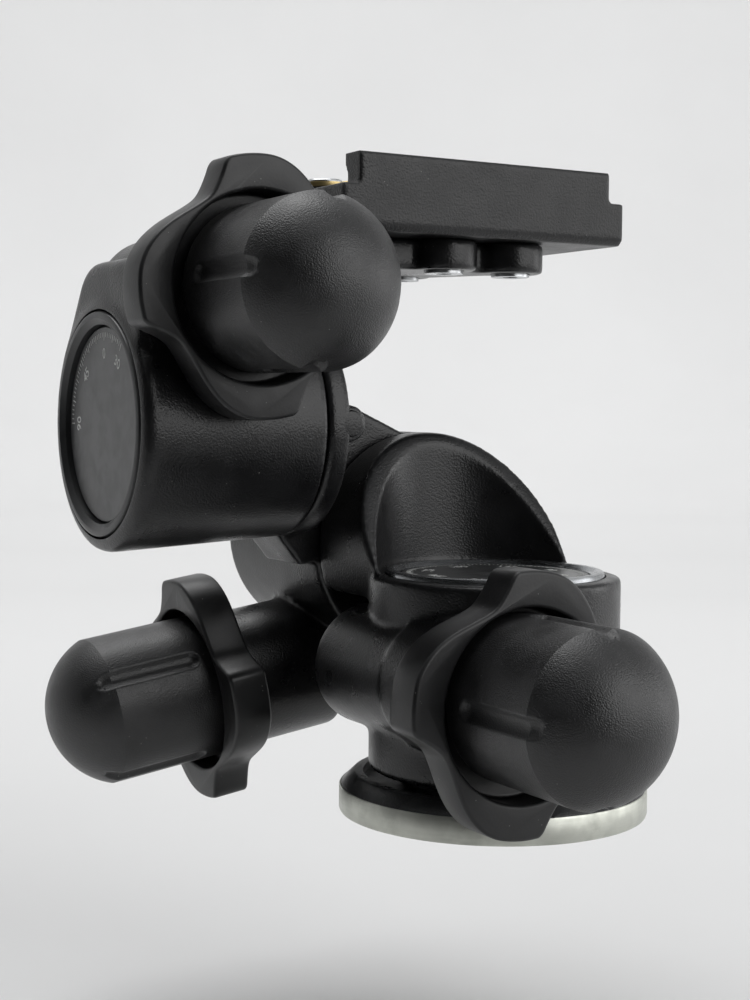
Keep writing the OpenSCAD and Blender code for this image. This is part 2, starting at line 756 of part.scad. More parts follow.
// ---- Side body: the barrel on the side axle, the upper worm housing and the arm
module side_shell() {
    along_x(side_y, side_z) {
        translate([0, 0, side_left_x]) rotate_extrude() polygon([
            [0, 0], [side_r - 1.5, 0], [side_r, 1.5], [seam_r + 0.4, side_face_x - side_left_x - 0.6],
            [seam_r - 0.2, side_face_x - side_left_x], [0, side_face_x - side_left_x]]);
    }
}
module side_neck() {
    top = side_z + drive_centre + neck_rise;
    translate([side_left_x + 0.5, 0, 0]) rotate([90, 0, 90]) linear_extrude(side_face_x - side_left_x - 3)
        union() {
            polygon([[side_y - neck_front, side_z], [side_y - neck_front, top], [side_y + 4, top],
                [side_y + 11, top - 5], [side_y + neck_back, side_z + neck_shoulder],
                [side_y + side_r - 1, side_z]]);
            translate([side_y + 4, top - neck_round_r]) circle(r = neck_round_r);
        }
}
module at_bosses() {
    for (place = boss_at) translate([place[0], place[1], 0]) children();
}
module side_arm() {
    left_x = side_right_x - arm_root;
    low_z = side_z + seam_r + 1.5;
    translate([0, 0, arm_z]) linear_extrude(boss_h)
        polygon([[left_x, boss_at[0][1]], boss_at[1], [boss_at[1][0], boss_at[1][1] + 4],
            [boss_at[2][0] + 3, arm_back_y], [left_x, arm_back_y]]);
    translate([left_x, boss_at[0][1], low_z])
        cube([arm_right_x - left_x, arm_back_y - boss_at[0][1], arm_z - low_z + 1]);
    at_bosses() rod(boss_r, arm_z, plat_z);
}
module side_housing() {
    color(casting_black) difference() {
        union() {
            side_shell();
            side_neck();
            side_arm();
            at_side() drive_tube(side_reach, collar_tube_r);
        }
        along_x(side_y, side_z) {
            rod(axle_r + bush_wall, side_bore_x - 1, side_face_x + 1);
            rod(drive_bore_r, side_left_x + dial_recess + end_plate_t, side_bore_x);
            rod(dial_ring_r, side_left_x - 1, side_left_x + dial_recess + end_plate_t + eps);
        }
        at_side() drive_room(side_reach);
        at_bosses() {
            rod(screw_r + screw_play, arm_z - 1, plat_z + 1);
            rod(screw_head_r + screw_play, arm_z - 1, arm_z + screw_head_h - 0.6);
        }
    }
}
module side_end_plate() {
    color(casting_black) along_x(side_y, side_z)
        tube(dial_ring_r - seat_gap, axle_r + bush_wall, side_left_x + dial_recess + 0.2,
            side_left_x + dial_recess + end_plate_t);
}
module side_bushes() {
    color(bronze) along_x(side_y, side_z) {
        tube(axle_r + bush_wall - seat_gap, axle_r + running_gap, side_bore_x, side_face_x);
        tube(axle_r + bush_wall - seat_gap, axle_r + running_gap,
            side_left_x + dial_recess + 0.2, side_left_x + dial_recess + end_plate_t);
    }
}
module side_dial_ring() {
    color(dial_grey) along_x(side_y, side_z) mirror([0, 0, 1])
        dial_ring(-side_left_x - dial_recess, -side_left_x + 0.4);
}

// ---- Platform: the receiver for the camera plate
module rail(length) {
    rotate([90, 0, 90]) linear_extrude(length)
        polygon([[0, 0], [rail_t, 0], [rail_t, seat_rise + rail_lip],
            [rail_t + rail_undercut, rail_full_h - rail_lip], [rail_t + rail_undercut, rail_full_h],
            [0, rail_full_h]]);
}
module platform() {
    color(casting_black) difference() {
        union() {
            translate([plat_x, plat_y, plat_z]) rotate([90, 0, 90]) linear_extrude(plat_len)
                polygon([[plat_bevel, 0], [plat_depth - plat_bevel, 0], [plat_depth, plat_bevel],
                    [plat_depth, deck_h], [0, deck_h], [0, plat_bevel]]);
            translate([seat_x, plat_y + seat_margin, deck_z - eps])
                cube([plat_right_x - seat_x, plat_depth - 2 * seat_margin, seat_rise + eps]);
            translate([plat_x + rail_step, plat_y, deck_z - eps]) rail(plat_len - 2 * rail_step);
            translate([plat_right_x - rail_step, plat_back_y, deck_z - eps]) rotate([0, 0, 180])
                rail(plat_right_x - rail_step - rear_rail_x);
        }
        translate([pocket_x, plat_y + pocket_margin, seat_z - pocket_depth])
            cube([plat_len - pocket_left - pocket_right, plat_depth - 2 * pocket_margin, pocket_depth + 1]);
        at_bosses() rod(screw_r, plat_z - 1, plat_z + screw_bite + 1);
        translate([pivot_x, pivot_y, 0]) rod(pivot_r, plat_z + well_floor, seat_z + 1);
        translate([catch_x, catch_y, 0]) rod(catch_r + running_gap, plat_z + well_floor, seat_z + 1);
        translate([vial_x, vial_y, vial_z]) rotate([0, 90, 0]) rod(vial_r, 0, vial_len);
        translate([vial_x, vial_y - vial_r, vial_z]) cube([vial_len, 2 * vial_r, vial_drop + 1]);
    }
}
module platform_screws() {
    color(steel) at_bosses() difference() {
        union() {
            rod(screw_r - seat_gap, arm_z + screw_head_h - 0.8, plat_z + screw_bite);
            rod(screw_head_r, arm_z - 0.6, arm_z + screw_head_h - 0.6);
        }
        translate([0, 0, arm_z - 1]) cylinder(r = hex_r, h = 1.8, $fn = 6);
    }
}
module level_vials() {
    color("#c8e04a") translate([vial_x, vial_y, vial_z])
        rotate([0, 90, 0]) rod(vial_r - seat_gap, 0.2, vial_len - 0.2);
}
module lever_pivot() {
    color(steel) translate([pivot_x, pivot_y, 0]) {
        rod(pivot_r - seat_gap, plat_z + well_floor + 0.5, deck_z + cam_top + 0.1);
        rod(pivot_r + 1.2, deck_z + cam_top + 0.1, deck_z + cam_top + 0.8);
    }
}
module clamp_lever() {
    color(ring_black) translate([pivot_x, pivot_y, deck_z]) difference() {
        union() {
            rod(hub_plate_r, face_gap, lever_top);
            translate([-lever_half_w, 0, face_gap]) cube([2 * lever_half_w, lever_len, lever_top - face_gap]);
            translate([0, lever_len, 0]) rod(lever_half_w, face_gap, lever_top + thumb_rise);
        }
        rod(pivot_r + running_gap, -1, lever_top + 1);
    }
}
module clamp_cam() {
    color(brass) translate([pivot_x, pivot_y, deck_z]) difference() {
        union() {
            rod(hub_plate_r - 1.1, lever_top, cam_top);
            translate([cam_offset, 0, 0]) rod(hub_plate_r - 1.7, lever_top, cam_top);
        }
        rod(pivot_r + running_gap, lever_top - 1, cam_top + 1);
    }
}
module safety_catch() {
    color(brass) translate([catch_x, catch_y, 0])
        rod(catch_r, plat_z + well_floor + catch_travel + 0.4, seat_z + catch_rise);
}

// ---- What is drawn
base_disc();
base_collar();
thread_insert();
base_screws();
pan_spindle();
pan_wheel();
pan_dial();
pan_housing();
pan_bushes();
pan_dial_ring();
tilt_axle();
tilt_axle_screws();
tilt_wheel();
tilt_dial();
color(steel) at_pan() release_spring(pan_reach);  // pan_spring
color(steel) at_pan() sleeve(pan_reach);  // pan_sleeve
color(ring_black) at_pan() release_ring(pan_reach, pan_lobes_at);  // pan_release_ring
color(steel) at_pan() ring_screws(pan_reach);  // pan_ring_screws
color(bronze) at_pan() worm_bushes(pan_reach);  // pan_worm_bushes
color(steel) at_pan() worm(pan_module, pan_reach);  // pan_worm
color(knob_black) at_pan() knob(pan_reach);  // pan_knob
color(brass) at_pan() knob_insert(pan_reach);  // pan_knob_insert
tilt_housing();
tilt_end_plate();
tilt_bushes();
tilt_dial_ring();
side_axle();
side_axle_screws();
side_wheel();
side_dial();
stop_pin();
color(steel) at_tilt() release_spring(tilt_reach);  // tilt_spring
color(steel) at_tilt() sleeve(tilt_reach);  // tilt_sleeve
color(ring_black) at_tilt() release_ring(tilt_reach, tilt_lobes_at);  // tilt_release_ring
color(steel) at_tilt() ring_screws(tilt_reach);  // tilt_ring_screws
color(bronze) at_tilt() worm_bushes(tilt_reach);  // tilt_worm_bushes
color(steel) at_tilt() worm(drive_module, tilt_reach);  // tilt_worm
color(knob_black) at_tilt() knob(tilt_reach);  // tilt_knob
color(brass) at_tilt() knob_insert(tilt_reach);  // tilt_knob_insert
side_housing();
side_end_plate();
side_bushes();
side_dial_ring();
color(steel) at_side() release_spring(side_reach);  // side_spring
color(steel) at_side() sleeve(side_reach);  // side_sleeve
color(ring_black) at_side() release_ring(side_reach, side_lobes_at);  // side_release_ring
color(steel) at_side() ring_screws(side_reach);  // side_ring_screws
color(bronze) at_side() worm_bushes(side_reach);  // side_worm_bushes
color(steel) at_side() worm(drive_module, side_reach);  // side_worm
color(knob_black) at_side() knob(side_reach);  // side_knob
color(brass) at_side() knob_insert(side_reach);  // side_knob_insert
platform();
platform_screws();
level_vials();
lever_pivot();
clamp_lever();
clamp_cam();
safety_catch();
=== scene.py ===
# A geared tripod head: its visible pieces, their finishes, the light and the camera.
import json
import logging
import math
from contextlib import contextmanager
from dataclasses import dataclass
from enum import Enum
from typing import Iterator, Sequence

import bpy
from mathutils import Matrix, Vector


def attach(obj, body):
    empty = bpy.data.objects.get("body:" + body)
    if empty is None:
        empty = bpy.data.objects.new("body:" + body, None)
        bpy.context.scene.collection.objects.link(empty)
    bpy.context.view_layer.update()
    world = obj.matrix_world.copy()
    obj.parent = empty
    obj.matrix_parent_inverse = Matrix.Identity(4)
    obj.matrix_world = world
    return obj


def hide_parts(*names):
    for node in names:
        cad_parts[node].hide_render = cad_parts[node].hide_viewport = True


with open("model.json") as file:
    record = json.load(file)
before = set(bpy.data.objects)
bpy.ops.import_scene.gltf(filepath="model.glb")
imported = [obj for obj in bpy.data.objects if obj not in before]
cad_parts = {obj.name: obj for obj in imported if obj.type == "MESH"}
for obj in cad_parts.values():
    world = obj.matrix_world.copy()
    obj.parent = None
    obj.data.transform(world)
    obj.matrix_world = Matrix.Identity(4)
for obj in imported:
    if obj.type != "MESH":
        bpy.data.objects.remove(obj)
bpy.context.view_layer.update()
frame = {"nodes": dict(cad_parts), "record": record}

MM = 0.001
PRINT_HALF = 0.02
log = logging.getLogger("tripod_head")

Point2 = tuple[float, float]
Point3 = tuple[float, float, float]
Piece = bpy.types.Object
Socket = bpy.types.NodeSocket


class Cut(Enum):
    """What one shape does to another."""

    ADD = "UNION"
    TAKE = "DIFFERENCE"


# ---- Mesh tools: the steps done by hand at the bench


def pick_nothing() -> None:
    """Deselects every object."""
    bpy.ops.object.select_all(action="DESELECT")


def take(piece: Piece) -> None:
    """Makes one object the only selected one, and the active one.

    Args:
        piece: The object to work on.
    """
    pick_nothing()
    piece.select_set(True)
    bpy.context.view_layer.objects.active = piece


@contextmanager
def editing(piece: Piece, kind: str = "VERT") -> Iterator[None]:
    """Opens an object's mesh in edit mode with everything selected.

    Args:
        piece: The object to edit.
        kind: What is selected: VERT, EDGE or FACE.
    """
    take(piece)
    bpy.ops.object.mode_set(mode="EDIT")
    bpy.ops.mesh.select_mode(type=kind)
    bpy.ops.mesh.select_all(action="SELECT")
    yield
    bpy.ops.object.mode_set(mode="OBJECT")


def place(piece: Piece, where: Matrix) -> Piece:
    """Moves a piece and writes the move into its mesh.

    Args:
        piece: The object to move.
        where: The move, in metres.

    Returns:
        The same object, at the origin and unturned.
    """
    take(piece)
    piece.matrix_world = where @ piece.matrix_world
    bpy.ops.object.transform_apply(location=True, rotation=True, scale=True)
    return piece


def shift(x: float, y: float, z: float) -> Matrix:
    """A move by millimetres."""
    return Matrix.Translation(Vector((x, y, z)) * MM)


def turn(angle: float, axis: str) -> Matrix:
    """A turn by degrees about a main axis."""
    return Matrix.Rotation(math.radians(angle), 4, axis)


def along_y(x: float, z: float) -> Matrix:
    """Lays a shape's own axis along +Y, through x and z."""
    return shift(x, 0, z) @ turn(-90, "X")


def along_x(y: float, z: float) -> Matrix:
    """Lays a shape's own axis along +X, through y and z."""
    return shift(0, y, z) @ turn(90, "Y")


LIE_ALONG_X = Matrix(((0, 0, 1, 0), (1, 0, 0, 0), (0, 1, 0, 0), (0, 0, 0, 1)))


def modify(piece: Piece, kind: str, **settings: object) -> None:
    """Adds a modifier to a piece and applies it.

    Args:
        piece: The object.
        kind: The modifier's type.
        settings: Its settings.
    """
    take(piece)
    step = piece.modifiers.new("step", kind)
    for name, value in settings.items():
        setattr(step, name, value)
    bpy.ops.object.modifier_apply(modifier=step.name)


def bevelled(piece: Piece, width: float, steps: int = 3, angle: float = 30) -> Piece:
    """Rounds a piece's sharp edges.

    Args:
        piece: The object.
        width: Width of the rounding, in millimetres.
        steps: Faces across the rounding.
        angle: Edges sharper than this many degrees are rounded.

    Returns:
        The same object.
    """
    limit = math.radians(angle)
    modify(piece, "BEVEL", width=width * MM, segments=steps, limit_method="ANGLE", angle_limit=limit)
    return piece


def drum(radius: float, low: float, high: float, bevel: float = 0.0, sides: int = 128) -> Piece:
    """A round bar on its own Z axis.

    Args:
        radius: Its radius in millimetres.
        low: Where it starts along Z.
        high: Where it ends along Z.
        bevel: Rounding of its two rims.
        sides: Faces round it.

    Returns:
        The new object.
    """
    pick_nothing()
    bpy.ops.mesh.primitive_cylinder_add(
        vertices=sides, radius=radius * MM, depth=(high - low) * MM, location=(0, 0, (low + high) / 2 * MM)
    )
    piece = place(bpy.context.active_object, Matrix.Identity(4))
    return bevelled(piece, bevel) if bevel else piece


def block(low: Point3, high: Point3) -> Piece:
    """A block between two corners.

    Args:
        low: The corner with the small values, in millimetres.
        high: The corner with the large values.

    Returns:
        The new object.
    """
    pick_nothing()
    middle = [(a + b) / 2 * MM for a, b in zip(low, high)]
    bpy.ops.mesh.primitive_cube_add(size=1, location=middle)
    piece = bpy.context.active_object
    piece.scale = [(b - a) * MM for a, b in zip(low, high)]
    return place(piece, Matrix.Identity(4))


def slab(outline: Sequence[Point2], low: float, high: float) -> Piece:
    """A flat outline raised along Z.

    Args:
        outline: Its corners in order, in millimetres.
        low: Height of its underside.
        high: Height of its top.

    Returns:
        The new object.
    """
    pick_nothing()
    bpy.ops.mesh.primitive_circle_add(vertices=len(outline), radius=0.01, fill_type="NGON")
    piece = bpy.context.active_object
    for vertex, (x, y) in zip(piece.data.vertices, outline):
        vertex.co = Vector((x, y, low)) * MM
    with editing(piece, "FACE"):
        bpy.ops.mesh.extrude_region_move(TRANSFORM_OT_translate={"value": (0, 0, (high - low) * MM)})
        bpy.ops.mesh.select_all(action="SELECT")
        bpy.ops.mesh.normals_make_consistent(inside=False)
    return piece


def turned(profile: Sequence[Point2], steps: int = 160) -> Piece:
    """Turns a profile round the Z axis, as on a lathe.

    Args:
        profile: Radius and height of each corner, in millimetres.
        steps: Faces round it.

    Returns:
        The new object, with its faces outwards.
    """
    pick_nothing()
    bpy.ops.mesh.primitive_plane_add(size=MM)
    piece = bpy.context.active_object
    corners = [Vector((r, 0, z)) * MM for r, z in profile]
    with editing(piece):
        bpy.ops.mesh.merge(type="CENTER")
        bpy.ops.transform.translate(value=corners[0])
        for before, after in zip(corners, corners[1:]):
            bpy.ops.mesh.extrude_vertices_move(TRANSFORM_OT_translate={"value": after - before})
        bpy.ops.mesh.select_all(action="SELECT")
        bpy.ops.mesh.spin(steps=steps, angle=2 * math.pi, center=(0, 0, 0), axis=(0, 0, 1))
        bpy.ops.mesh.select_all(action="SELECT")
        bpy.ops.mesh.remove_doubles(threshold=0.00001)
        bpy.ops.mesh.normals_make_consistent(inside=False)
    return piece


def combine(piece: Piece, tools: Sequence[Piece], how: Cut) -> Piece:
    """Adds shapes to a piece or takes them out of it, and clears them away.

    Args:
        piece: The piece that is kept.
        tools: The shapes that are used up.
        how: Whether they are added or taken out.

    Returns:
        The piece.
    """
    for tool in tools:
        before = len(piece.data.polygons)
        modify(piece, "BOOLEAN", operation=how.value, object=tool, solver="EXACT")
        bpy.data.objects.remove(tool)
        log.debug("%s %s: %d to %d faces", piece.name, how.value, before, len(piece.data.polygons))
    return piece


def cast(piece: Piece, cell: float, rounds: int) -> Piece:
    """Gives a joined-up shape one skin with soft corners, as a casting has.

    Args:
        piece: The shape.
        cell: Size of the skin's cells in millimetres.
        rounds: How often the skin is relaxed; more gives rounder corners.

    Returns:
        The same object.
    """
    modify(piece, "REMESH", mode="VOXEL", voxel_size=cell * MM)
    modify(piece, "SMOOTH", factor=0.5, iterations=rounds)
    return piece


def joined(pieces: Sequence[Piece]) -> Piece:
    """Makes several meshes one object.

    Args:
        pieces: The objects; the first one keeps its name.

    Returns:
        The first object.
    """
    take(pieces[0])
    for other in pieces[1:]:
        other.select_set(True)
    bpy.ops.object.join()
    return pieces[0]


def lettering(word: str, height: float, where: Matrix) -> Piece:
    """A printed number, as a thin mesh.

    Args:
        word: The digits.
        height: Height of the digits in millimetres.
        where: Where its middle goes.

    Returns:
        The new object.
    """
    pick_nothing()
    bpy.ops.object.text_add()
    text = bpy.context.active_object
    text.data.body = word
    text.data.size = height * MM
    text.data.extrude = PRINT_HALF * MM
    text.data.align_x = "CENTER"
    text.data.align_y = "CENTER"
    text.data.resolution_u = 3
    bpy.ops.object.convert(target="MESH")
    return place(bpy.context.active_object, where)


# ---- Shader node groups shared by the finishes


class Net:
    """A node tree with short ways to add and join its nodes."""

    def __init__(self, tree: bpy.types.NodeTree) -> None:
        """Keeps the tree."""
        self.tree = tree

    def feed(self, into: Socket, value: Socket | float | Sequence[float]) -> None:
        """Links a socket into an input, or writes a number, vector or colour there.

        Args:
            into: The input.
            value: What it gets.
        """
        if isinstance(value, Socket):
            self.tree.links.new(value, into)
        else:
            into.default_value = value

    def add(self, kind: str, inputs: dict[str | int, object], **settings: object) -> bpy.types.Node:
        """Adds a node.

        Args:
            kind: Its type name.
            inputs: What its inputs get, by their names or numbers.
            settings: Its properties.

        Returns:
            The new node.
        """
        node = self.tree.nodes.new(kind)
        for name, value in settings.items():
            setattr(node, name, value)
        for key, value in inputs.items():
            self.feed(node.inputs[key], value)
        return node

    def noise(self, vector: Socket, scale: Socket | float, detail: float) -> Socket:
        """A noise value about 0.5, with so many cells to the metre and so many finer layers."""
        node = self.add("ShaderNodeTexNoise", {"Vector": vector, "Scale": scale, "Detail": detail})
        return node.outputs["Fac"]

    def span(self, value: Socket, a: float, b: float, c: float, d: float) -> Socket:
        """Maps a value from a..b to c..d and holds it inside."""
        limits = {"From Min": a, "From Max": b, "To Min": c, "To Max": d}
        return self.add("ShaderNodeMapRange", {"Value": value, **limits}).outputs["Result"]

    def maths(self, kind: str, a: Socket, b: Socket | float) -> Socket:
        """One step of arithmetic."""
        return self.add("ShaderNodeMath", {0: a, 1: b}, operation=kind).outputs[0]

    def blend(self, mask: Socket, low: Socket | Point3, high: Point3) -> Socket:
        """Mixes two colours: a mask of 0 gives the low one and 1 the high one."""
        colours = {6: low if isinstance(low, Socket) else (*low, 1), 7: (*high, 1)}
        return self.add("ShaderNodeMix", {"Factor": mask, **colours}, data_type="RGBA").outputs[2]

    def relief(self, height: Socket, strength: float, depth: float) -> Socket:
        """The normal of a height that is so many metres deep and shows by so much."""
        inputs = {"Height": height, "Strength": strength, "Distance": depth}
        return self.add("ShaderNodeBump", inputs).outputs["Normal"]


def new_group(
    name: str, values: Sequence[str], outputs: Sequence[str]
) -> tuple[Net, bpy.types.Node, bpy.types.Node]:
    """Starts a node group that reads a vector.

    Args:
        name: The group's name.
        values: Names of its other inputs.
        outputs: Names of its outputs.

    Returns:
        Its net, the node of its inputs and the node of its outputs.
    """
    group = bpy.data.node_groups.new(name, "ShaderNodeTree")
    group.interface.new_socket("Vector", in_out="INPUT", socket_type="NodeSocketVector")
    for way, labels in (("INPUT", values), ("OUTPUT", outputs)):
        for label in labels:
            group.interface.new_socket(label, in_out=way, socket_type="NodeSocketFloat")
    return Net(group), group.nodes.new("NodeGroupInput"), group.nodes.new("NodeGroupOutput")


def grain_group() -> bpy.types.NodeTree:
    """The pebbled grain of powder coat and moulded plastic.

    Returns:
        A group with Vector and Cells in, and Height and Mottle out.
    """
    net, given, made = new_group("PebbleGrain", ["Cells"], ["Height", "Mottle"])
    vector, cells = given.outputs[0], given.outputs[1]
    fine = net.maths("MULTIPLY", net.noise(vector, cells, 3), 0.9)
    stones = {"Vector": vector, "Scale": net.maths("MULTIPLY", cells, 0.8)}
    pebble = net.add("ShaderNodeTexVoronoi", stones, feature="SMOOTH_F1")
    rise = net.span(pebble.outputs["Distance"], 0.15, 0.75, 1, 0)
    net.feed(made.inputs[0], net.maths("ADD", fine, rise))
    broad = net.noise(vector, net.maths("MULTIPLY", cells, 0.05), 4)
    net.feed(made.inputs[1], net.span(broad, 0.35, 0.65, 0, 1))
    return net.tree


def rub_group() -> bpy.types.NodeTree:
    """Where handling has polished the corners.

    Returns:
        A group with Vector in and a Mask out, 1 on worn corners.
    """
    net, given, made = new_group("CornerRub", [], ["Mask"])
    shape = net.add("ShaderNodeNewGeometry", {})
    corner = net.span(shape.outputs["Pointiness"], 0.515, 0.56, 0, 1)
    patchy = net.span(net.noise(given.outputs[0], 260, 4), 0.38, 0.6, 0.15, 1)
    net.feed(made.inputs[0], net.maths("MULTIPLY", corner, patchy))
    return net.tree


def dust_group() -> bpy.types.NodeTree:
    """A few pale specks of dust.

    Returns:
        A group with Vector in and a Mask out, 1 on a speck.
    """
    net, given, made = new_group("DustSpecks", [], ["Mask"])
    vector = given.outputs[0]
    cells = net.add("ShaderNodeTexVoronoi", {"Vector": vector, "Scale": 900}, feature="F1")
    speck = net.span(cells.outputs["Distance"], 0.05, 0.11, 1, 0)
    sparse = net.span(net.noise(vector, 420, 1), 0.62, 0.66, 0, 1)
    net.feed(made.inputs[0], net.maths("MULTIPLY", speck, sparse))
    return net.tree


GRAIN = grain_group()
RUB = rub_group()
DUST = dust_group()


# ---- Finishes


class Coat(Net):
    """A new material: its net, its main shader and the piece's own coordinates."""

    def __init__(self, name: str) -> None:
        """Makes the material.

        Args:
            name: Its name.
        """
        self.material = bpy.data.materials.new(name)
        self.material.use_nodes = True
        super().__init__(self.material.node_tree)
        self.shader = next(n for n in self.tree.nodes if n.type == "BSDF_PRINCIPLED")
        self.where = self.add("ShaderNodeTexCoord", {}).outputs["Object"]

    def use(self, group: bpy.types.NodeTree, **values: float) -> bpy.types.Node:
        """Places a node group that reads the piece's own coordinates."""
        return self.add("ShaderNodeGroup", {"Vector": self.where, **values}, node_tree=group)

    def give(self, name: str, value: Socket | float) -> None:
        """Links or writes one input of the main shader."""
        self.feed(self.shader.inputs[name], value)


class Finish:
    """A named finish; its material is made once."""

    made: dict[str, bpy.types.Material] = {}

    def material(self) -> bpy.types.Material:
        """Makes the finish's material on first use.

        Returns:
            The material.
        """
        name = f"{type(self).__name__}_{self.label}"
        if name not in Finish.made:
            coat = Coat(name)
            self.fill(coat)
            Finish.made[name] = coat.material
        return Finish.made[name]

    def fill(self, coat: Coat) -> None:
        """Adds the finish's own nodes to a new material."""
        raise NotImplementedError


@dataclass(frozen=True)
class Grained(Finish):
    """Black coat or plastic with a pebbled grain, dust and rubbed corners."""

    label: str
    colour: Point3 = (0.005, 0.005, 0.0055)
    worn: Point3 = (0.030, 0.031, 0.032)
    cells: float = 1700
    depth: float = 0.00006
    rough: Point2 = (0.36, 0.48)
    shine: float = 0.5
    dusty: bool = True
    dust: Point3 = (0.22, 0.22, 0.21)

    def fill(self, coat: Coat) -> None:
        """Adds colour, gloss and grain.

        Args:
            coat: The new material.
        """
        grain = coat.use(GRAIN, Cells=self.cells)
        mottle = grain.outputs["Mottle"]
        colour = coat.blend(mottle, self.colour, tuple(c * 1.6 for c in self.colour))
        colour = coat.blend(coat.use(RUB).outputs["Mask"], colour, self.worn)
        if self.dusty:
            colour = coat.blend(coat.use(DUST).outputs["Mask"], colour, self.dust)
        coat.give("Base Color", colour)
        coat.give("Roughness", coat.span(mottle, 0, 1, *self.rough))
        coat.give("Specular IOR Level", self.shine)
        coat.give("Normal", coat.relief(grain.outputs["Height"], 1.0, self.depth))


@dataclass(frozen=True)
class Turned(Finish):
    """Metal from a lathe or mill, with fine tool marks across one axis."""

    label: str
    colour: Point3 = (0.50, 0.51, 0.52)
    dark: Point3 = (0.34, 0.35, 0.35)
    rough: Point2 = (0.24, 0.40)
    lines: float = 4200
    depth: float = 0.00002

    def fill(self, coat: Coat) -> None:
        """Adds the colour's patches and the tool marks.

        Args:
            coat: The new material.
        """
        squeeze = coat.add("ShaderNodeMapping", {"Vector": coat.where, "Scale": (0.04, 0.04, 1.0)})
        marks = coat.noise(squeeze.outputs["Vector"], self.lines, 2)
        patches = coat.span(coat.noise(coat.where, 130, 5), 0.35, 0.65, 0, 1)
        colour = coat.blend(patches, self.colour, self.dark)
        bright = tuple(min(1.0, c * 1.25) for c in self.colour)
        coat.give("Base Color", coat.blend(coat.use(RUB).outputs["Mask"], colour, bright))
        coat.give("Metallic", 1.0)
        coat.give("Roughness", coat.span(marks, 0.3, 0.7, *self.rough))
        coat.give("Normal", coat.relief(marks, 0.35, self.depth))


@dataclass(frozen=True)
class Printed(Finish):
    """Flat printing ink, slightly uneven."""

    label: str
    colour: Point3 = (0.78, 0.79, 0.77)

    def fill(self, coat: Coat) -> None:
        """Adds the ink's uneven cover.

        Args:
            coat: The new material.
        """
        cover = coat.span(coat.noise(coat.where, 1500, 3), 0.3, 0.6, 0, 1)
        thin = tuple(c * 0.72 for c in self.colour)
        coat.give("Base Color", coat.blend(cover, thin, self.colour))
        coat.give("Roughness", coat.span(cover, 0, 1, 0.6, 0.45))


@dataclass(frozen=True)
class Fluid(Finish):
    """The tinted fluid of a spirit level in its clear tube."""

    label: str
    colour: Point3 = (0.62, 0.80, 0.16)

    def fill(self, coat: Coat) -> None:
        """Adds the tint and the clear wall's gloss.

        Args:
            coat: The new material.
        """
        depth = coat.span(coat.noise(coat.where, 300, 2), 0.3, 0.7, 0, 1)
        pale = tuple(min(1.0, c * 1.15) for c in self.colour)
        coat.give("Base Color", coat.blend(depth, self.colour, pale))
        for name, value in (("Transmission Weight", 0.35), ("Roughness", 0.06), ("Coat Weight", 0.6)):
            coat.give(name, value)


CASTING = Grained("casting", cells=3400, depth=0.00003, rough=(0.27, 0.35))
PLATFORM_COAT = Grained("platform", cells=3300, depth=0.00005, rough=(0.34, 0.44))
KNOB = Grained(
    "knob", colour=(0.012, 0.012, 0.0125), cells=4800, depth=0.00004, rough=(0.34, 0.44), shine=0.65
)
RELEASE = Grained(
    "release", colour=(0.006, 0.006, 0.0065), cells=2600, depth=0.000008, rough=(0.34, 0.44)
)
DIAL_FACE = Grained(
    "dial",
    colour=(0.052, 0.053, 0.055),
    cells=3200,
    depth=0.000003,
    rough=(0.3, 0.38),
    shine=0.75,
    dusty=False,
)
DIAL_RIM = Grained(
    "rim", colour=(0.022, 0.023, 0.024), cells=2600, depth=0.000006, rough=(0.28, 0.38), dusty=False
)
BAND = Turned("band", colour=(0.55, 0.56, 0.51), dark=(0.38, 0.39, 0.35), rough=(0.34, 0.5))
STEEL = Turned("steel")
BRONZE = Turned("bronze", colour=(0.52, 0.35, 0.17), dark=(0.36, 0.23, 0.10))
BRASS = Turned("brass", colour=(0.60, 0.47, 0.22), dark=(0.42, 0.31, 0.13), rough=(0.3, 0.45))
BEZEL = Turned("bezel", colour=(0.34, 0.35, 0.36), dark=(0.24, 0.25, 0.26), rough=(0.2, 0.32))
INK = Printed("white")
FLUID = Fluid("level")

FINISH_OF_SLOT: dict[str, Finish] = {
    "cast_black": CASTING,
    "release_black": RELEASE,
    "knob_black": KNOB,
    "dial_plate": DIAL_FACE,
    "dial_bevel": BEZEL,
    "dial_rim": DIAL_RIM,
    "bare_band": BAND,
    "steel": STEEL,
    "bronze": BRONZE,
    "brass": BRASS,
    "vial_fluid": FLUID,
}


def hand_over(
    piece: Piece,
    name: str,
    body: str,
    finish: Finish,
    stands_for: Sequence[str] = (),
    sharp: float = 30,
) -> Piece:
    """Names, shades and dresses a finished piece, and sets it on its body.

    Args:
        piece: The finished mesh.
        name: The piece's name.
        body: The body that it rides on.
        finish: What covers it.
        stands_for: CAD nodes that it takes the place of.
        sharp: Edges sharper than this many degrees stay crisp.

    Returns:
        The piece.
    """
    piece.name = name
    take(piece)
    bpy.ops.object.shade_smooth_by_angle(angle=math.radians(sharp))
    piece.data.materials.clear()
    piece.data.materials.append(finish.material())
    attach(piece, body)
    if stands_for:
        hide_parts(*stands_for)
    log.info("%s: %d faces on %s", name, len(piece.data.polygons), body)
    return piece


# ---- The three worm drives: knob and release ring


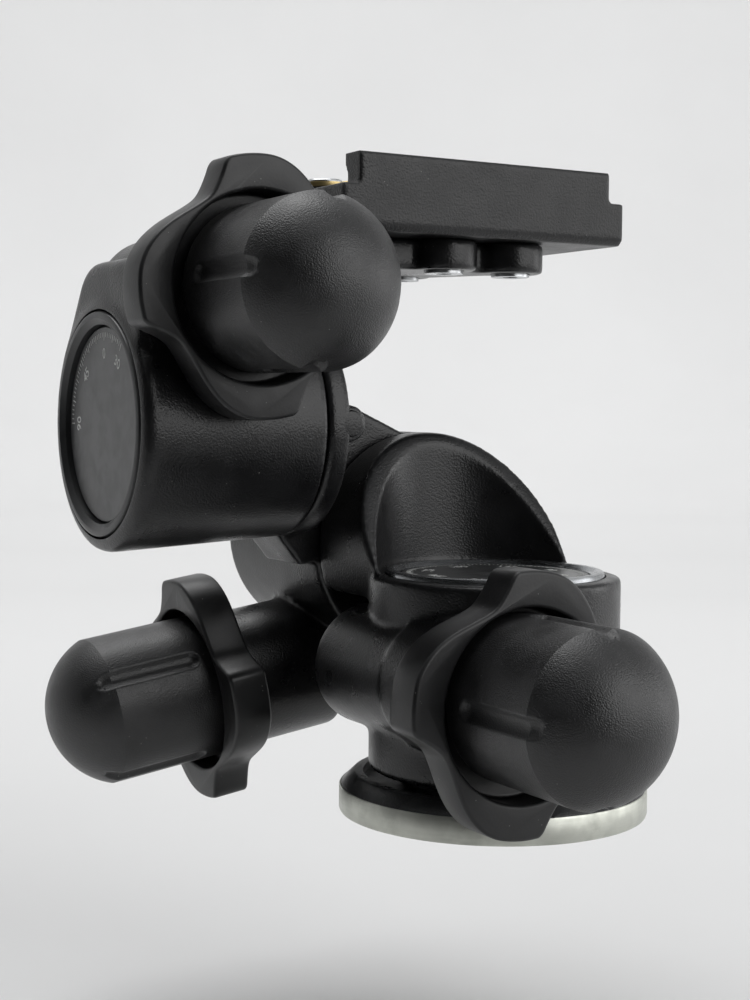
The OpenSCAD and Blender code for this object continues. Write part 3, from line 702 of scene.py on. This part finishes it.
@dataclass
class WormDrive:
    """The knob and the release ring of one axis, built on the ring's own axis."""

    axis: str
    where: Matrix
    reach: float
    lobes_at: float
    knob_turn: float
    knob_r: float = 15.0
    sink: float = 3.8
    grip: float = 20.0
    dome: float = 10.0
    crease: float = 0.05
    foot_bevel: float = 0.6
    offset: float = 1.0
    flute_half: float = 1.8
    flute_depth: float = 1.05
    flute_from: float = 1.2
    flute_past: float = 2.8
    ring_t: float = 8.0
    hole_r: float = 17.0
    valley_r: float = 18.4
    lobe_r: float = 23.4
    lobe_drop: float = 18.0
    lobe_full: float = 70.0
    ring_floor: float = 2.0
    ring_edge: float = 0.7
    ring_gap: float = 0.4
    sleeve_r: float = 8.62
    tube_r: float = 12.0
    tube_back: float = 20.0
    collar_r: float = 12.8
    collar_len: float = 22.0
    bore_r: float = 8.65
    bore_back: float = 16.9
    spring_r: float = 11.1
    spring_len: float = 7.0

    @property
    def mouth(self) -> float:
        """How far the housing's tube reaches."""
        return self.reach - self.ring_t - self.ring_gap

    def knob_profile(self) -> list[Point2]:
        """The knob's outline from the middle of its foot to the tip of its cap.

        Returns:
            Radius and height of each corner.
        """
        foot, shoulder = self.reach - self.sink, self.reach + self.grip
        rows, cap_rows = 60, 30
        low, high = foot + self.foot_bevel, shoulder - self.crease
        side = [(self.knob_r, low + (high - low) * i / rows) for i in range(rows + 1)]
        ball = (self.knob_r**2 + self.dome**2) / (2 * self.dome)
        centre = shoulder + self.dome - ball
        start = math.asin(self.knob_r / ball)
        cap = []
        for i in range(1, cap_rows + 1):
            angle = start * (1 - i / cap_rows)
            cap.append((ball * math.sin(angle), centre + ball * math.cos(angle)))
        return [(0.0, foot), (self.knob_r - self.foot_bevel, foot), *side, *cap]

    def flute(self, vertex: Vector) -> float:
        """How far a point of the knob is pressed in by the nearest flute.

        Args:
            vertex: The point, in millimetres on the knob's axis.

        Returns:
            The depth in millimetres.
        """
        radius = math.hypot(vertex.x, vertex.y)
        if radius < self.knob_r * 0.6:
            return 0.0
        angle = (math.degrees(math.atan2(vertex.y, vertex.x)) - self.knob_turn + 45) % 90 - 45
        across = math.radians(angle) * self.knob_r
        low = self.reach + self.flute_from + self.flute_half
        high = self.reach + self.grip + self.flute_past - self.flute_half
        beyond = vertex.z - min(max(vertex.z, low), high)
        share = math.hypot(across, beyond) / self.flute_half
        if share >= 1:
            return 0.0
        return self.flute_depth * (1 - share**2) ** 0.7

    def build_knob(self) -> Piece:
        """The domed cap with its four flutes.

        Returns:
            The finished piece.
        """
        piece = turned(self.knob_profile(), steps=288)
        crease = (self.reach + self.grip - self.crease) * MM
        for edge in piece.data.edges:
            ends = [piece.data.vertices[k].co.z for k in edge.vertices]
            edge.use_edge_sharp = max(abs(z - crease) for z in ends) < 0.02 * MM
        for vertex in piece.data.vertices:
            point = vertex.co / MM
            depth = self.flute(point)
            if depth:
                pull = 1 - depth / math.hypot(point.x, point.y)
                vertex.co.x *= pull
                vertex.co.y *= pull
        place(piece, self.where @ shift(0, self.offset, 0))
        return hand_over(
            piece,
            f"{self.axis}_knob_cap",
            f"{self.axis}_drive",
            KNOB,
            [f"{self.axis}_knob"],
            sharp=50,
        )

    def outline(self) -> list[Point2]:
        """The release ring's edge: each lobe drops at its corner and rises slowly.

        Returns:
            Its points in order, with the corners rounded.
        """
        rise = self.lobe_r - self.valley_r
        sharp = []
        for step in range(360):
            at = (step - self.lobes_at) % 90
            if at < self.lobe_drop:
                radius = self.lobe_r - rise * math.sin(math.radians(90 * at / self.lobe_drop)) ** 0.8
            elif at < self.lobe_full:
                share = (at - self.lobe_drop) / (self.lobe_full - self.lobe_drop)
                radius = self.valley_r + rise * (1 - math.cos(math.pi * share)) / 2
            else:
                radius = self.lobe_r
            sharp.append(radius)
        near = range(-2, 3)
        soft = [sum(sharp[(i + k) % 360] for k in near) / len(near) for i in range(360)]
        return [(r * math.cos(math.radians(i)), r * math.sin(math.radians(i))) for i, r in enumerate(soft)]

    def build_ring(self) -> Piece:
        """The thumb ring behind the knob.

        Returns:
            The finished piece.
        """
        back = self.reach - self.ring_t
        piece = slab(self.outline(), back, self.reach)
        cup = drum(self.hole_r, back + self.ring_floor, self.reach + 2, sides=192)
        neck = drum(self.sleeve_r, back - 1, back + self.ring_floor + 1, sides=128)
        combine(piece, [cup, neck], Cut.TAKE)
        bevelled(piece, self.ring_edge, 4, 65)
        place(piece, self.where)
        return hand_over(
            piece,
            f"{self.axis}_thumb_ring",
            f"{self.axis}_release",
            RELEASE,
            [f"{self.axis}_release_ring"],
        )

    def tube(self) -> list[Piece]:
        """The outside of the worm's housing.

        Returns:
            The tube and the collar at its mouth, in place.
        """
        tube = drum(self.tube_r, -self.tube_back, self.mouth - 1, bevel=1.2)
        collar = drum(self.collar_r, self.mouth - self.collar_len, self.mouth, bevel=0.8)
        return [place(part, self.where) for part in (tube, collar)]

    def room(self) -> list[Piece]:
        """The bore and the spring's room inside the worm's housing.

        Returns:
            The two shapes that are taken out, in place.
        """
        bore = drum(self.bore_r, -self.bore_back, self.mouth + 1, sides=96)
        spring = drum(self.spring_r, self.mouth - self.spring_len, self.mouth + 1, sides=96)
        return [place(part, self.where) for part in (bore, spring)]

    def build(self) -> None:
        """Builds the knob and the ring."""
        self.build_knob()
        self.build_ring()


PAN_DRIVE = WormDrive("pan", shift(0, 0, 27.3) @ turn(90, "X") @ shift(-17.4, 0, 0), 37.0, 8.0, 0.0)
TILT_DRIVE = WormDrive(
    "tilt", shift(0, 53, 50) @ turn(-99, "Y") @ shift(-24.6, 0, 0), 46.0, 15.0, 35.0, collar_r=14.4
)
SIDE_DRIVE = WormDrive(
    "side", shift(-52, 28, 74.5) @ turn(90, "Y") @ turn(90, "X") @ shift(-24.6, 0, 0), 31.5, 18.0, -7.0
)


# ---- Castings

CELL = 0.55
RELAX = 10
RECESS_R = 21.5
AXLE_R = 9.0


@dataclass
class PanStage:
    """The round housing on the spindle, with the dome in front of the tilt axis."""

    radius: float = 24.3
    low: float = 8.2
    top: float = 46.0
    well_r: float = 12.9
    well_top: float = 31.4
    barrel_r: float = 23.0
    barrel_y: float = 30.0
    tilt_z: float = 50.0
    dome_floor: float = 41.0
    scoop_r: float = 23.0
    band_y: float = 9.0
    band_lean: float = 34.0

    def dome(self) -> Piece:
        """The half barrel with the scoop above the dial.

        Returns:
            The solid, with a broad bevel along the scoop's edge.
        """
        piece = place(drum(self.barrel_r, 4, self.barrel_y, sides=160), along_y(0, self.tilt_z))
        below = block((-30, -5, 0), (30, 35, self.dome_floor))
        scoop = drum(self.scoop_r, self.top, 90, sides=160)
        slope = block((-46, -69, -15), (46, 0, 54))
        place(slope, shift(0, self.band_y, self.tilt_z) @ turn(-self.band_lean, "X"))
        combine(piece, [below, scoop, slope], Cut.TAKE)
        return piece

    def build(self) -> None:
        """Builds the housing."""
        piece = drum(self.radius, self.low, self.top, bevel=0.8, sides=160)
        combine(piece, [self.dome(), *PAN_DRIVE.tube()], Cut.ADD)
        cast(piece, CELL, RELAX)
        recess = drum(RECESS_R, self.top - 2, self.top + 3, sides=160)
        well = drum(self.well_r, self.low - 1, self.well_top, sides=96)
        combine(piece, [recess, well, *PAN_DRIVE.room()], Cut.TAKE)
        hand_over(piece, "pan_casting", "pan_body", CASTING, ["pan_housing"], sharp=40)


@dataclass
class TiltStage:
    """The barrel on the tilt axle and the flange that carries the side axis."""

    radius: float = 23.0
    front_y: float = 30.4
    back_y: float = 73.2
    tilt_z: float = 50.0
    side_y: float = 28.0
    side_z: float = 74.5
    flange_r: float = 21.6
    flange_x: Point2 = (-33.0, -28.5)
    pin_r: float = 2.6

    def web(self) -> Piece:
        """The sloping web between the barrel and the flange.

        Returns:
            The solid, in place.
        """
        left, right = self.flange_x
        outline = [
            (left, self.tilt_z + 4),
            (left, self.side_z + 10),
            (right, self.side_z + 10),
            (-3, self.tilt_z + self.radius),
            (0, self.tilt_z),
            (right + 2, self.tilt_z - 4),
        ]
        piece = slab(outline[::-1], -16, 0)
        return place(piece, shift(0, self.front_y, 0) @ turn(90, "X"))

    def build(self) -> None:
        """Builds the housing and the stop pin."""
        piece = place(drum(self.radius, self.front_y, self.back_y, bevel=1.0), along_y(0, self.tilt_z))
        flange = place(drum(self.flange_r, *self.flange_x, bevel=0.6), along_x(self.side_y, self.side_z))
        pin_x, pin_z = self.flange_x[1] + 1, self.side_z + 0.5
        lug = place(drum(self.pin_r + 1, 8.6, 32, bevel=0.4), along_y(pin_x, pin_z))
        combine(piece, [self.web(), flange, lug, *TILT_DRIVE.tube()], Cut.ADD)
        cast(piece, CELL, RELAX)
        recess = place(drum(RECESS_R, self.back_y - 6, self.back_y + 2, sides=160), along_y(0, self.tilt_z))
        axle = place(drum(AXLE_R, 25, 70, sides=96), along_y(0, self.tilt_z))
        hole = place(drum(self.pin_r, 5, 16, sides=64), along_y(pin_x, pin_z))
        combine(piece, [recess, axle, hole, *TILT_DRIVE.room()], Cut.TAKE)
        hand_over(piece, "tilt_casting", "tilt_body", CASTING, ["tilt_housing"], sharp=40)
        pin = place(drum(self.pin_r - 0.1, 8, 16, bevel=0.35, sides=64), along_y(pin_x, pin_z))
        hand_over(pin, "stop_pin_cap", "tilt_body", CASTING, ["stop_pin"])


@dataclass
class SideStage:
    """The upper barrel with its neck, its worm housing and the arm under the platform."""

    left: float = -71.0
    right: float = -33.4
    left_r: float = 24.0
    right_r: float = 21.6
    axis_y: float = 28.0
    axis_z: float = 74.5
    drive_z: float = 99.1
    plat_z: float = 111.4
    arm_z: float = 105.4
    arm_left: float = -46.0
    arm_right: float = -13.4
    neck_r: float = 10.0
    boss_r: float = 6.6
    boss_well_r: float = 4.1
    bosses: tuple[Point2, ...] = ((-2.4, 16.0), (13.6, 16.0), (0.6, 38.0))

    def neck(self) -> Piece:
        """The block that rises from the barrel to the worm housing.

        Returns:
            The solid, in place, with round corners.
        """
        top = self.drive_z + 6
        y, z, r = self.axis_y, self.axis_z, self.neck_r
        angles = [math.radians(a) for a in range(0, 61, 10)]
        curve = [(y + 4 + r * math.sin(a), top - r + r * math.cos(a)) for a in angles]
        outline = [(y - 20, z), (y - 20, top), *curve, (y + 21, z + 14), (y + 23, z)]
        piece = slab(outline[::-1], self.left + 0.5, self.right - 2.6)
        return bevelled(place(piece, LIE_ALONG_X), 2.5, 3, 40)

    def build(self) -> None:
        """Builds the housing."""
        profile = [
            (0, self.left),
            (self.left_r - 2, self.left),
            (self.left_r - 0.5, self.left + 0.6),
            (self.left_r, self.left + 2),
            (self.right_r + 0.4, self.right - 0.6),
            (self.right_r - 0.2, self.right),
            (0, self.right),
        ]
        lie = along_x(self.axis_y, self.axis_z)
        piece = place(turned(profile), lie)
        left, low = self.arm_left, self.axis_z + self.right_r + 1.5
        (_, front), (right, _), (back_x, back) = self.bosses
        outline = [(left, front), (right, front), (right, front + 4), (back_x + 3, back), (left, back)]
        plate = slab(outline, self.arm_z, self.plat_z)
        arm = block((left, front, low), (self.arm_right, back, self.arm_z + 1))
        cups = []
        for x, y in self.bosses:
            cups.append(place(drum(self.boss_r, self.arm_z, self.plat_z, bevel=0.4), shift(x, y, 0)))
        combine(piece, [self.neck(), *SIDE_DRIVE.tube(), plate, arm, *cups], Cut.ADD)
        cast(piece, CELL, RELAX)
        recess = place(drum(RECESS_R, self.left - 2, self.left + 6, sides=160), lie)
        axle = place(drum(AXLE_R, self.left + 4, self.right + 2, sides=96), lie)
        wells = []
        for x, y in self.bosses:
            well = drum(self.boss_well_r, self.arm_z - 1, self.arm_z + 1.8, sides=48)
            wells.append(place(well, shift(x, y, 0)))
        combine(piece, [recess, axle, *wells, *SIDE_DRIVE.room()], Cut.TAKE)
        hand_over(piece, "side_casting", "camera_body", CASTING, ["side_housing"], sharp=40)


# ---- Base, dials and platform


@dataclass
class Base:
    """The bare metal disc with its sloped black ring."""

    radius: float = 30.0
    hole_r: float = 5.6
    foot_r: float = 15.1
    foot_h: float = 3.0
    band_h: float = 5.0
    rise: float = 2.4
    top_r: float = 26.9
    groove: Point2 = (18.0, 25.1)
    groove_h: float = 1.2
    screw_at: float = 11.8

    def build(self) -> None:
        """Builds the disc and the ring."""
        r, h, hole, foot = self.radius, self.band_h, self.hole_r, self.foot_r
        rim = [(r - 0.6, 0.0), (r - 0.15, 0.15), (r, 0.6), (r, h - 0.35), (r - 0.2, h)]
        inside = [(foot, h), (foot, self.foot_h), (hole, self.foot_h), (hole, 0.0)]
        disc = turned([(hole, 0.0), *rim, *inside], steps=256)
        wells = []
        for k in range(3):
            spot = turn(120 * k, "Z") @ shift(self.screw_at, 0, 0)
            wells.append(place(drum(2.8, -1, 1.4, sides=48), spot))
            wells.append(place(drum(1.7, 1, 4, sides=48), spot))
        combine(disc, wells, Cut.TAKE)
        hand_over(disc, "base_band", "base", BAND, ["base_disc"])
        top, (inner, outer) = h + self.rise, self.groove
        floor = top - self.groove_h
        slope = [(r - 0.4, h), (r - 0.55, h + 0.25), (self.top_r + 0.4, top - 0.1), (self.top_r, top)]
        groove = [(outer + 0.2, top), (outer, floor), (inner, floor), (inner - 0.1, top)]
        ring = turned([(foot, h), *slope, *groove, (foot, top), (foot, h)], steps=256)
        hand_over(ring, "base_slope", "base", CASTING, ["base_collar"])


@dataclass
class Dial:
    """A printed dial plate with the ring round it."""

    name: str
    where: Matrix
    plate_body: str
    ring_body: str
    face: float
    ring_low: float
    ring_top: float
    zero: float
    way: int = 1
    first: int = -30
    last: int = 90
    numbers: tuple[int, ...] = (-30, 0, 45, 90)
    ring_finish: Finish = DIAL_RIM
    ring_slot: str = "dial_rim"
    plate_r: float = 18.4
    plate_t: float = 1.2
    chamfer: float = 0.3
    ring_r: float = 21.18
    tick_r: float = 17.2
    tick_half: float = 0.11
    number_r: float = 13.2
    digit_h: float = 2.9

    def spot(self, value: float, radius: float) -> Matrix:
        """Where a mark stands on the plate.

        Args:
            value: Its angle on the scale.
            radius: Its distance from the middle.

        Returns:
            The place, with the mark's own Y pointing outwards.
        """
        angle = self.zero + self.way * value
        return self.where @ turn(angle - 90, "Z") @ shift(0, radius, self.face + PRINT_HALF)

    def build(self) -> None:
        """Builds the plate, its printing and the ring."""
        name, face, edge, cut = f"{self.name}_dial", self.face, self.plate_r, self.chamfer
        back = face - self.plate_t
        corners = [(0, back), (edge, back), (edge, face - cut), (edge - cut, face), (0, face)]
        plate = place(turned(corners, steps=192), self.where)
        hand_over(plate, f"{name}_plate", self.plate_body, DIAL_FACE, [name])
        marks = []
        for value in range(self.first, self.last + 1, 3):
            tall = 0.9 if value % 15 else 1.5
            mark = block((-self.tick_half, -tall, -PRINT_HALF), (self.tick_half, 0, PRINT_HALF))
            marks.append(place(mark, self.spot(value, self.tick_r)))
        for value in self.numbers:
            marks.append(lettering(str(abs(value)), self.digit_h, self.spot(value, self.number_r)))
        hand_over(joined(marks), f"{name}_print", self.plate_body, INK)
        low, top, inner, outer = self.ring_low, self.ring_top, self.plate_r + 0.25, self.ring_r
        lip = [(outer, top - 0.7), (outer - 0.25, top - 0.2), (outer - 0.8, top), (outer - 1.4, top - 0.05)]
        ring = turned([(inner, low), (outer, low), *lip, (inner, top - 0.9), (inner, low)], steps=192)
        place(ring, self.where)
        hand_over(ring, f"{name}_rim", self.ring_body, self.ring_finish, [f"{name}_ring"])


@dataclass
class Platform:
    """The receiver for the camera plate, with its lever, catch and level."""

    left: float = -31.4
    length: float = 65.4
    front: float = 5.0
    depth: float = 54.0
    low: float = 111.4
    seat_h: float = 9.0
    seat_rise: float = 0.4
    bevel: float = 1.2
    rail_h: float = 5.6
    rail_t: float = 5.0
    step: float = 3.5
    undercut: float = 1.2
    pivot: Point2 = (-20.4, 33.0)
    catch_at: float = 11.0
    pocket_x: Point2 = (29.0, 54.4)
    pocket_inset: float = 13.0
    vial_len: float = 14.0
    vial_r: float = 1.6
    lever_z: Point2 = (0.4, 1.9)
    lever_len: float = 36.0
    lever_half: float = 4.0
    cam_t: float = 1.2
    eye_r: float = 2.55

    def rail(self, length: float) -> Piece:
        """One rail with its undercut, along X from the origin.

        Args:
            length: Its length.

        Returns:
            The solid.
        """
        t, u, h = self.rail_t, self.undercut, self.rail_h + self.seat_rise
        outline = [(0, -0.5), (t, -0.5), (t, 1.6), (t + u, h - 1.2), (t + u, h), (0, h)]
        return place(slab(outline, 0, length), LIE_ALONG_X)

    def pocket(self, low: float, high: float) -> Piece:
        """The opening in the middle of the seat.

        Args:
            low: Height of its floor.
            high: Height of its top.

        Returns:
            The shape that is taken out.
        """
        near, far = (self.left + x for x in self.pocket_x)
        inset = self.pocket_inset
        return block((near, self.front + inset, low), (far, self.front + self.depth - inset, high))

    def build(self) -> None:
        """Builds the plate with its rails, the seat's pad, the level and the clamp."""
        right, back = self.left + self.length, self.front + self.depth
        x, y = self.pivot
        seat = self.low + self.seat_h
        top = seat + self.rail_h
        deck = seat - self.seat_rise
        edge, depth, high = self.bevel, self.depth, deck - self.low
        section = [(edge, 0), (depth - edge, 0), (depth, edge), (depth, high), (0, high), (0, edge)]
        piece = place(slab(section, 0, self.length), shift(self.left, self.front, self.low) @ LIE_ALONG_X)
        fore = place(self.rail(self.length - 2 * self.step), shift(self.left + self.step, self.front, deck))
        rear = self.rail(right - self.step - x - 10)
        place(rear, shift(right - self.step, back, deck) @ turn(180, "Z"))
        combine(piece, [fore, rear], Cut.ADD)
        cast(piece, 0.45, 3)
        post = place(drum(2.6, self.low + 2, seat + 1, sides=48), shift(x, y, 0))
        slot = place(drum(2.45, self.low + 2, seat + 1, sides=48), shift(x, y - self.catch_at, 0))
        long, r = self.vial_len, self.vial_r
        vial_x, vial_y, vial_z = right - 30, back - self.rail_t / 2, top - 2
        lie = shift(vial_x, vial_y, vial_z) @ turn(90, "Y")
        tube = place(drum(r, 0, long, sides=48), lie)
        window = block((vial_x, vial_y - r, vial_z), (vial_x + long, vial_y + r, vial_z + 3))
        combine(piece, [self.pocket(seat - 1.2, seat + 1), post, slot, tube, window], Cut.TAKE)
        hand_over(piece, "platform_body", "camera_body", PLATFORM_COAT, ["platform"])
        margin = self.rail_t + self.undercut + 0.2
        pad = block((x + 8, self.front + margin, deck - 0.6), (right - 0.1, back - margin, seat))
        combine(pad, [self.pocket(0, 200)], Cut.TAKE)
        bevelled(pad, 0.12, 2, 60)
        hand_over(pad, "plate_seat_pad", "camera_body", PLATFORM_COAT)
        vial = place(drum(r - 0.05, 0.2, long - 0.2, bevel=0.3, sides=64), lie)
        hand_over(vial, "level_tube", "camera_body", FLUID, ["level_vials"])
        self.build_clamp(deck)

    def build_clamp(self, deck: float) -> None:
        """Builds the lever with its brass cam, the pivot's head and the catch.

        Args:
            deck: Height of the deck that the lever lies on.
        """
        x, y = self.pivot
        (low, high), reach, half = self.lever_z, self.lever_len, self.lever_half
        lever = drum(6.5, low, high, sides=96)
        arm = block((-half, 0, low), (half, reach, high))
        thumb = place(drum(half, low, high + 3, bevel=0.6, sides=64), shift(0, reach, 0))
        combine(lever, [arm, thumb], Cut.ADD)
        bevelled(lever, 0.25, 2, 40)
        combine(lever, [drum(self.eye_r, -1, 3, sides=48)], Cut.TAKE)
        place(lever, shift(x, y, deck))
        hand_over(lever, "clamp_lever_arm", "clamp", RELEASE, ["clamp_lever"])
        top = high + self.cam_t
        cam = drum(5.4, high, top, sides=96)
        combine(cam, [place(drum(4.8, high, top, sides=96), shift(1.4, 0, 0))], Cut.ADD)
        bevelled(cam, 0.25, 2, 40)
        combine(cam, [drum(self.eye_r, 1, 4, sides=48)], Cut.TAKE)
        place(cam, shift(x, y, deck))
        hand_over(cam, "clamp_cam_disc", "clamp", BRASS, ["clamp_cam"])
        stem = [(0, -6.4), (2.48, -6.4), (2.48, 3.2)]
        cap = [(3.7, 3.2), (3.7, 3.6), (3.4, 3.9)]
        dimple = [(1.2, 3.9), (0.9, 3.5), (0, 3.5)]
        head = place(turned([*stem, *cap, *dimple], 96), shift(x, y, deck))
        hand_over(head, "pivot_head", "camera_body", STEEL, ["lever_pivot"])
        catch = drum(2.4, self.low + 4, deck + 2.4, bevel=0.5, sides=64)
        place(catch, shift(x, y - self.catch_at, 0))
        hand_over(catch, "catch_button", "catch", BRASS, ["safety_catch"])


# ---- What stays as it comes from CAD, and the studio


def dress_inner_nodes() -> None:
    """Gives every CAD node the finish of its slot."""
    for part in frame["record"]["subparts"]:
        node = frame["nodes"][part["node"]]
        node.data.materials.clear()
        node.data.materials.append(FINISH_OF_SLOT[part["material_slot"]].material())


@dataclass
class Studio:
    """Pale round floor and wall with painted shade ahead of and behind the camera, soft lights and the
    camera.
    """

    camera_at: Point3 = (-184.9, -273.4, 79.1)
    pitch: float = 3.29
    roll: float = 0.5
    lens: float = 61.2
    towards: Point3 = (0.5, 0.866, 0.0)
    floor_z: float = -48.0
    floor_r: float = 1700.0
    bend_r: float = 800.0
    wall_top: float = 2600.0
    # Painted shade colours: the room behind the camera, and the floor ahead of it.
    dark_side: Point3 = (0.05, 0.05, 0.05)
    far_floor: Point3 = (0.62, 0.62, 0.62)

    def build_room(self) -> None:
        """Builds the round floor that curves up into a wall, with its painted shade."""
        reach, low, bend = self.floor_r, self.floor_z, self.bend_r
        profile = [(0.0, low), (reach, low)]
        for angle in range(6, 91, 6):
            a = math.radians(angle)
            profile.append((reach + bend * math.sin(a), low + bend - bend * math.cos(a)))
        profile.append((reach + bend, self.wall_top))
        room = turned(profile, steps=96)
        room.name = "studio_room"
        take(room)
        bpy.ops.object.shade_smooth()
        coat = Coat("StudioPaper")
        tone = coat.span(coat.noise(coat.where, 3, 3), 0.3, 0.7, 0, 1)
        white = coat.blend(tone, (0.76, 0.76, 0.76), (0.79, 0.79, 0.79))
        ahead = coat.add("ShaderNodeVectorMath", {0: coat.where, 1: self.towards}, operation="DOT_PRODUCT")
        ahead = ahead.outputs["Value"]
        height = coat.add("ShaderNodeSeparateXYZ", {0: coat.where}).outputs["Z"]
        # Painted shade: the floor from 0.15 to 0.8 m ahead of the camera is painted darker, to tone down
        # the light that the lamps throw there.
        flat = coat.span(height, -0.047, 0.03, 1, 0)
        flat = coat.maths("MULTIPLY", flat, coat.span(ahead, 1.1, 1.75, 1, 0.2))
        far = coat.maths("MULTIPLY", coat.span(ahead, 0.15, 0.8, 0, 1), flat)
        white = coat.blend(far, white, self.far_floor)
        # Painted shade: the room behind the camera is painted almost black, a dark side for the black parts
        # to reflect.
        near = coat.span(ahead, -0.07, -0.45, 0, 1)
        coat.give("Base Color", coat.blend(near, white, self.dark_side))
        coat.give("Roughness", 0.9)
        coat.give("Specular IOR Level", 0.1)
        room.data.materials.append(coat.material)

    def add_light(
        self, name: str, at: Point3, size: float, power: float, target: Point3 = (-0.02, 0.02, 0.06)
    ) -> None:
        """Adds a soft square light.

        Args:
            name: The light's name.
            at: Where it stands, in metres.
            size: Its side, in metres.
            power: Its power in watts.
            target: The point that it faces.
        """
        light = bpy.data.lights.new(name, "AREA")
        light.size = size
        light.energy = power
        lamp = bpy.data.objects.new(name, light)
        bpy.context.scene.collection.objects.link(lamp)
        lamp.location = at
        lamp.rotation_euler = (Vector(target) - Vector(at)).to_track_quat("-Z", "Y").to_euler()

    def build(self) -> None:
        """Builds the room, the lights and the camera."""
        self.build_room()
        self.add_light("window", (0.62, -1.35, 0.65), 1.5, 15)
        self.add_light("ceiling", (-0.1, 0.6, 1.7), 1.3, 14)
        self.add_light("right_fill", (1.5, -0.5, 0.2), 0.8, 4)
        self.add_light("backdrop", (0.4, 0.7, 1.5), 1.2, 18, (1.25, 2.2, 0.4))
        world = bpy.data.worlds.new("Sky")
        bpy.context.scene.world = world
        world.use_nodes = True
        world.node_tree.nodes["Background"].inputs["Color"].default_value = (0.97, 0.985, 1.0, 1)
        world.node_tree.nodes["Background"].inputs["Strength"].default_value = 0.42
        bpy.context.scene.view_settings.view_transform = "Standard"
        lens = bpy.data.cameras.new("photo_view")
        lens.sensor_fit = "VERTICAL"
        lens.sensor_height = 36
        lens.lens = self.lens
        lens.clip_start = 0.01
        camera = bpy.data.objects.new("photo_view", lens)
        bpy.context.scene.collection.objects.link(camera)
        upright = Matrix.Rotation(math.radians(90 - self.pitch), 4, "X")
        facing = Matrix.Rotation(math.radians(-30), 4, "Z")
        camera.matrix_world = shift(*self.camera_at) @ facing @ upright @ turn(self.roll, "Z")
        bpy.context.scene.camera = camera


DIALS = (
    Dial(
        "pan",
        shift(0, 0, 0),
        "base",
        "pan_body",
        face=46.2,
        ring_low=44.0,
        ring_top=47.0,
        zero=270,
        first=0,
        last=357,
        numbers=tuple(range(0, 360, 45)),
        ring_finish=BEZEL,
        ring_slot="dial_bevel",
    ),
    Dial("tilt", along_y(0, 50), "pan_body", "tilt_body", 71.8, 70.2, 73.6, zero=270, way=-1),
    Dial(
        "side", shift(-71, 28, 74.5) @ turn(-90, "Y"), "tilt_body", "camera_body", -1.4, -3.0, 0.4, zero=0
    ),
)


def main() -> None:
    """Builds the studio and every piece."""
    logging.basicConfig(level=logging.INFO, format="%(message)s")
    Studio().build()
    dress_inner_nodes()
    stages = (Base(), PanStage(), TiltStage(), SideStage())
    drives = (PAN_DRIVE, TILT_DRIVE, SIDE_DRIVE)
    for part in (*stages, *drives, *DIALS, Platform()):
        part.build()


if __name__ == "__main__":
    main()
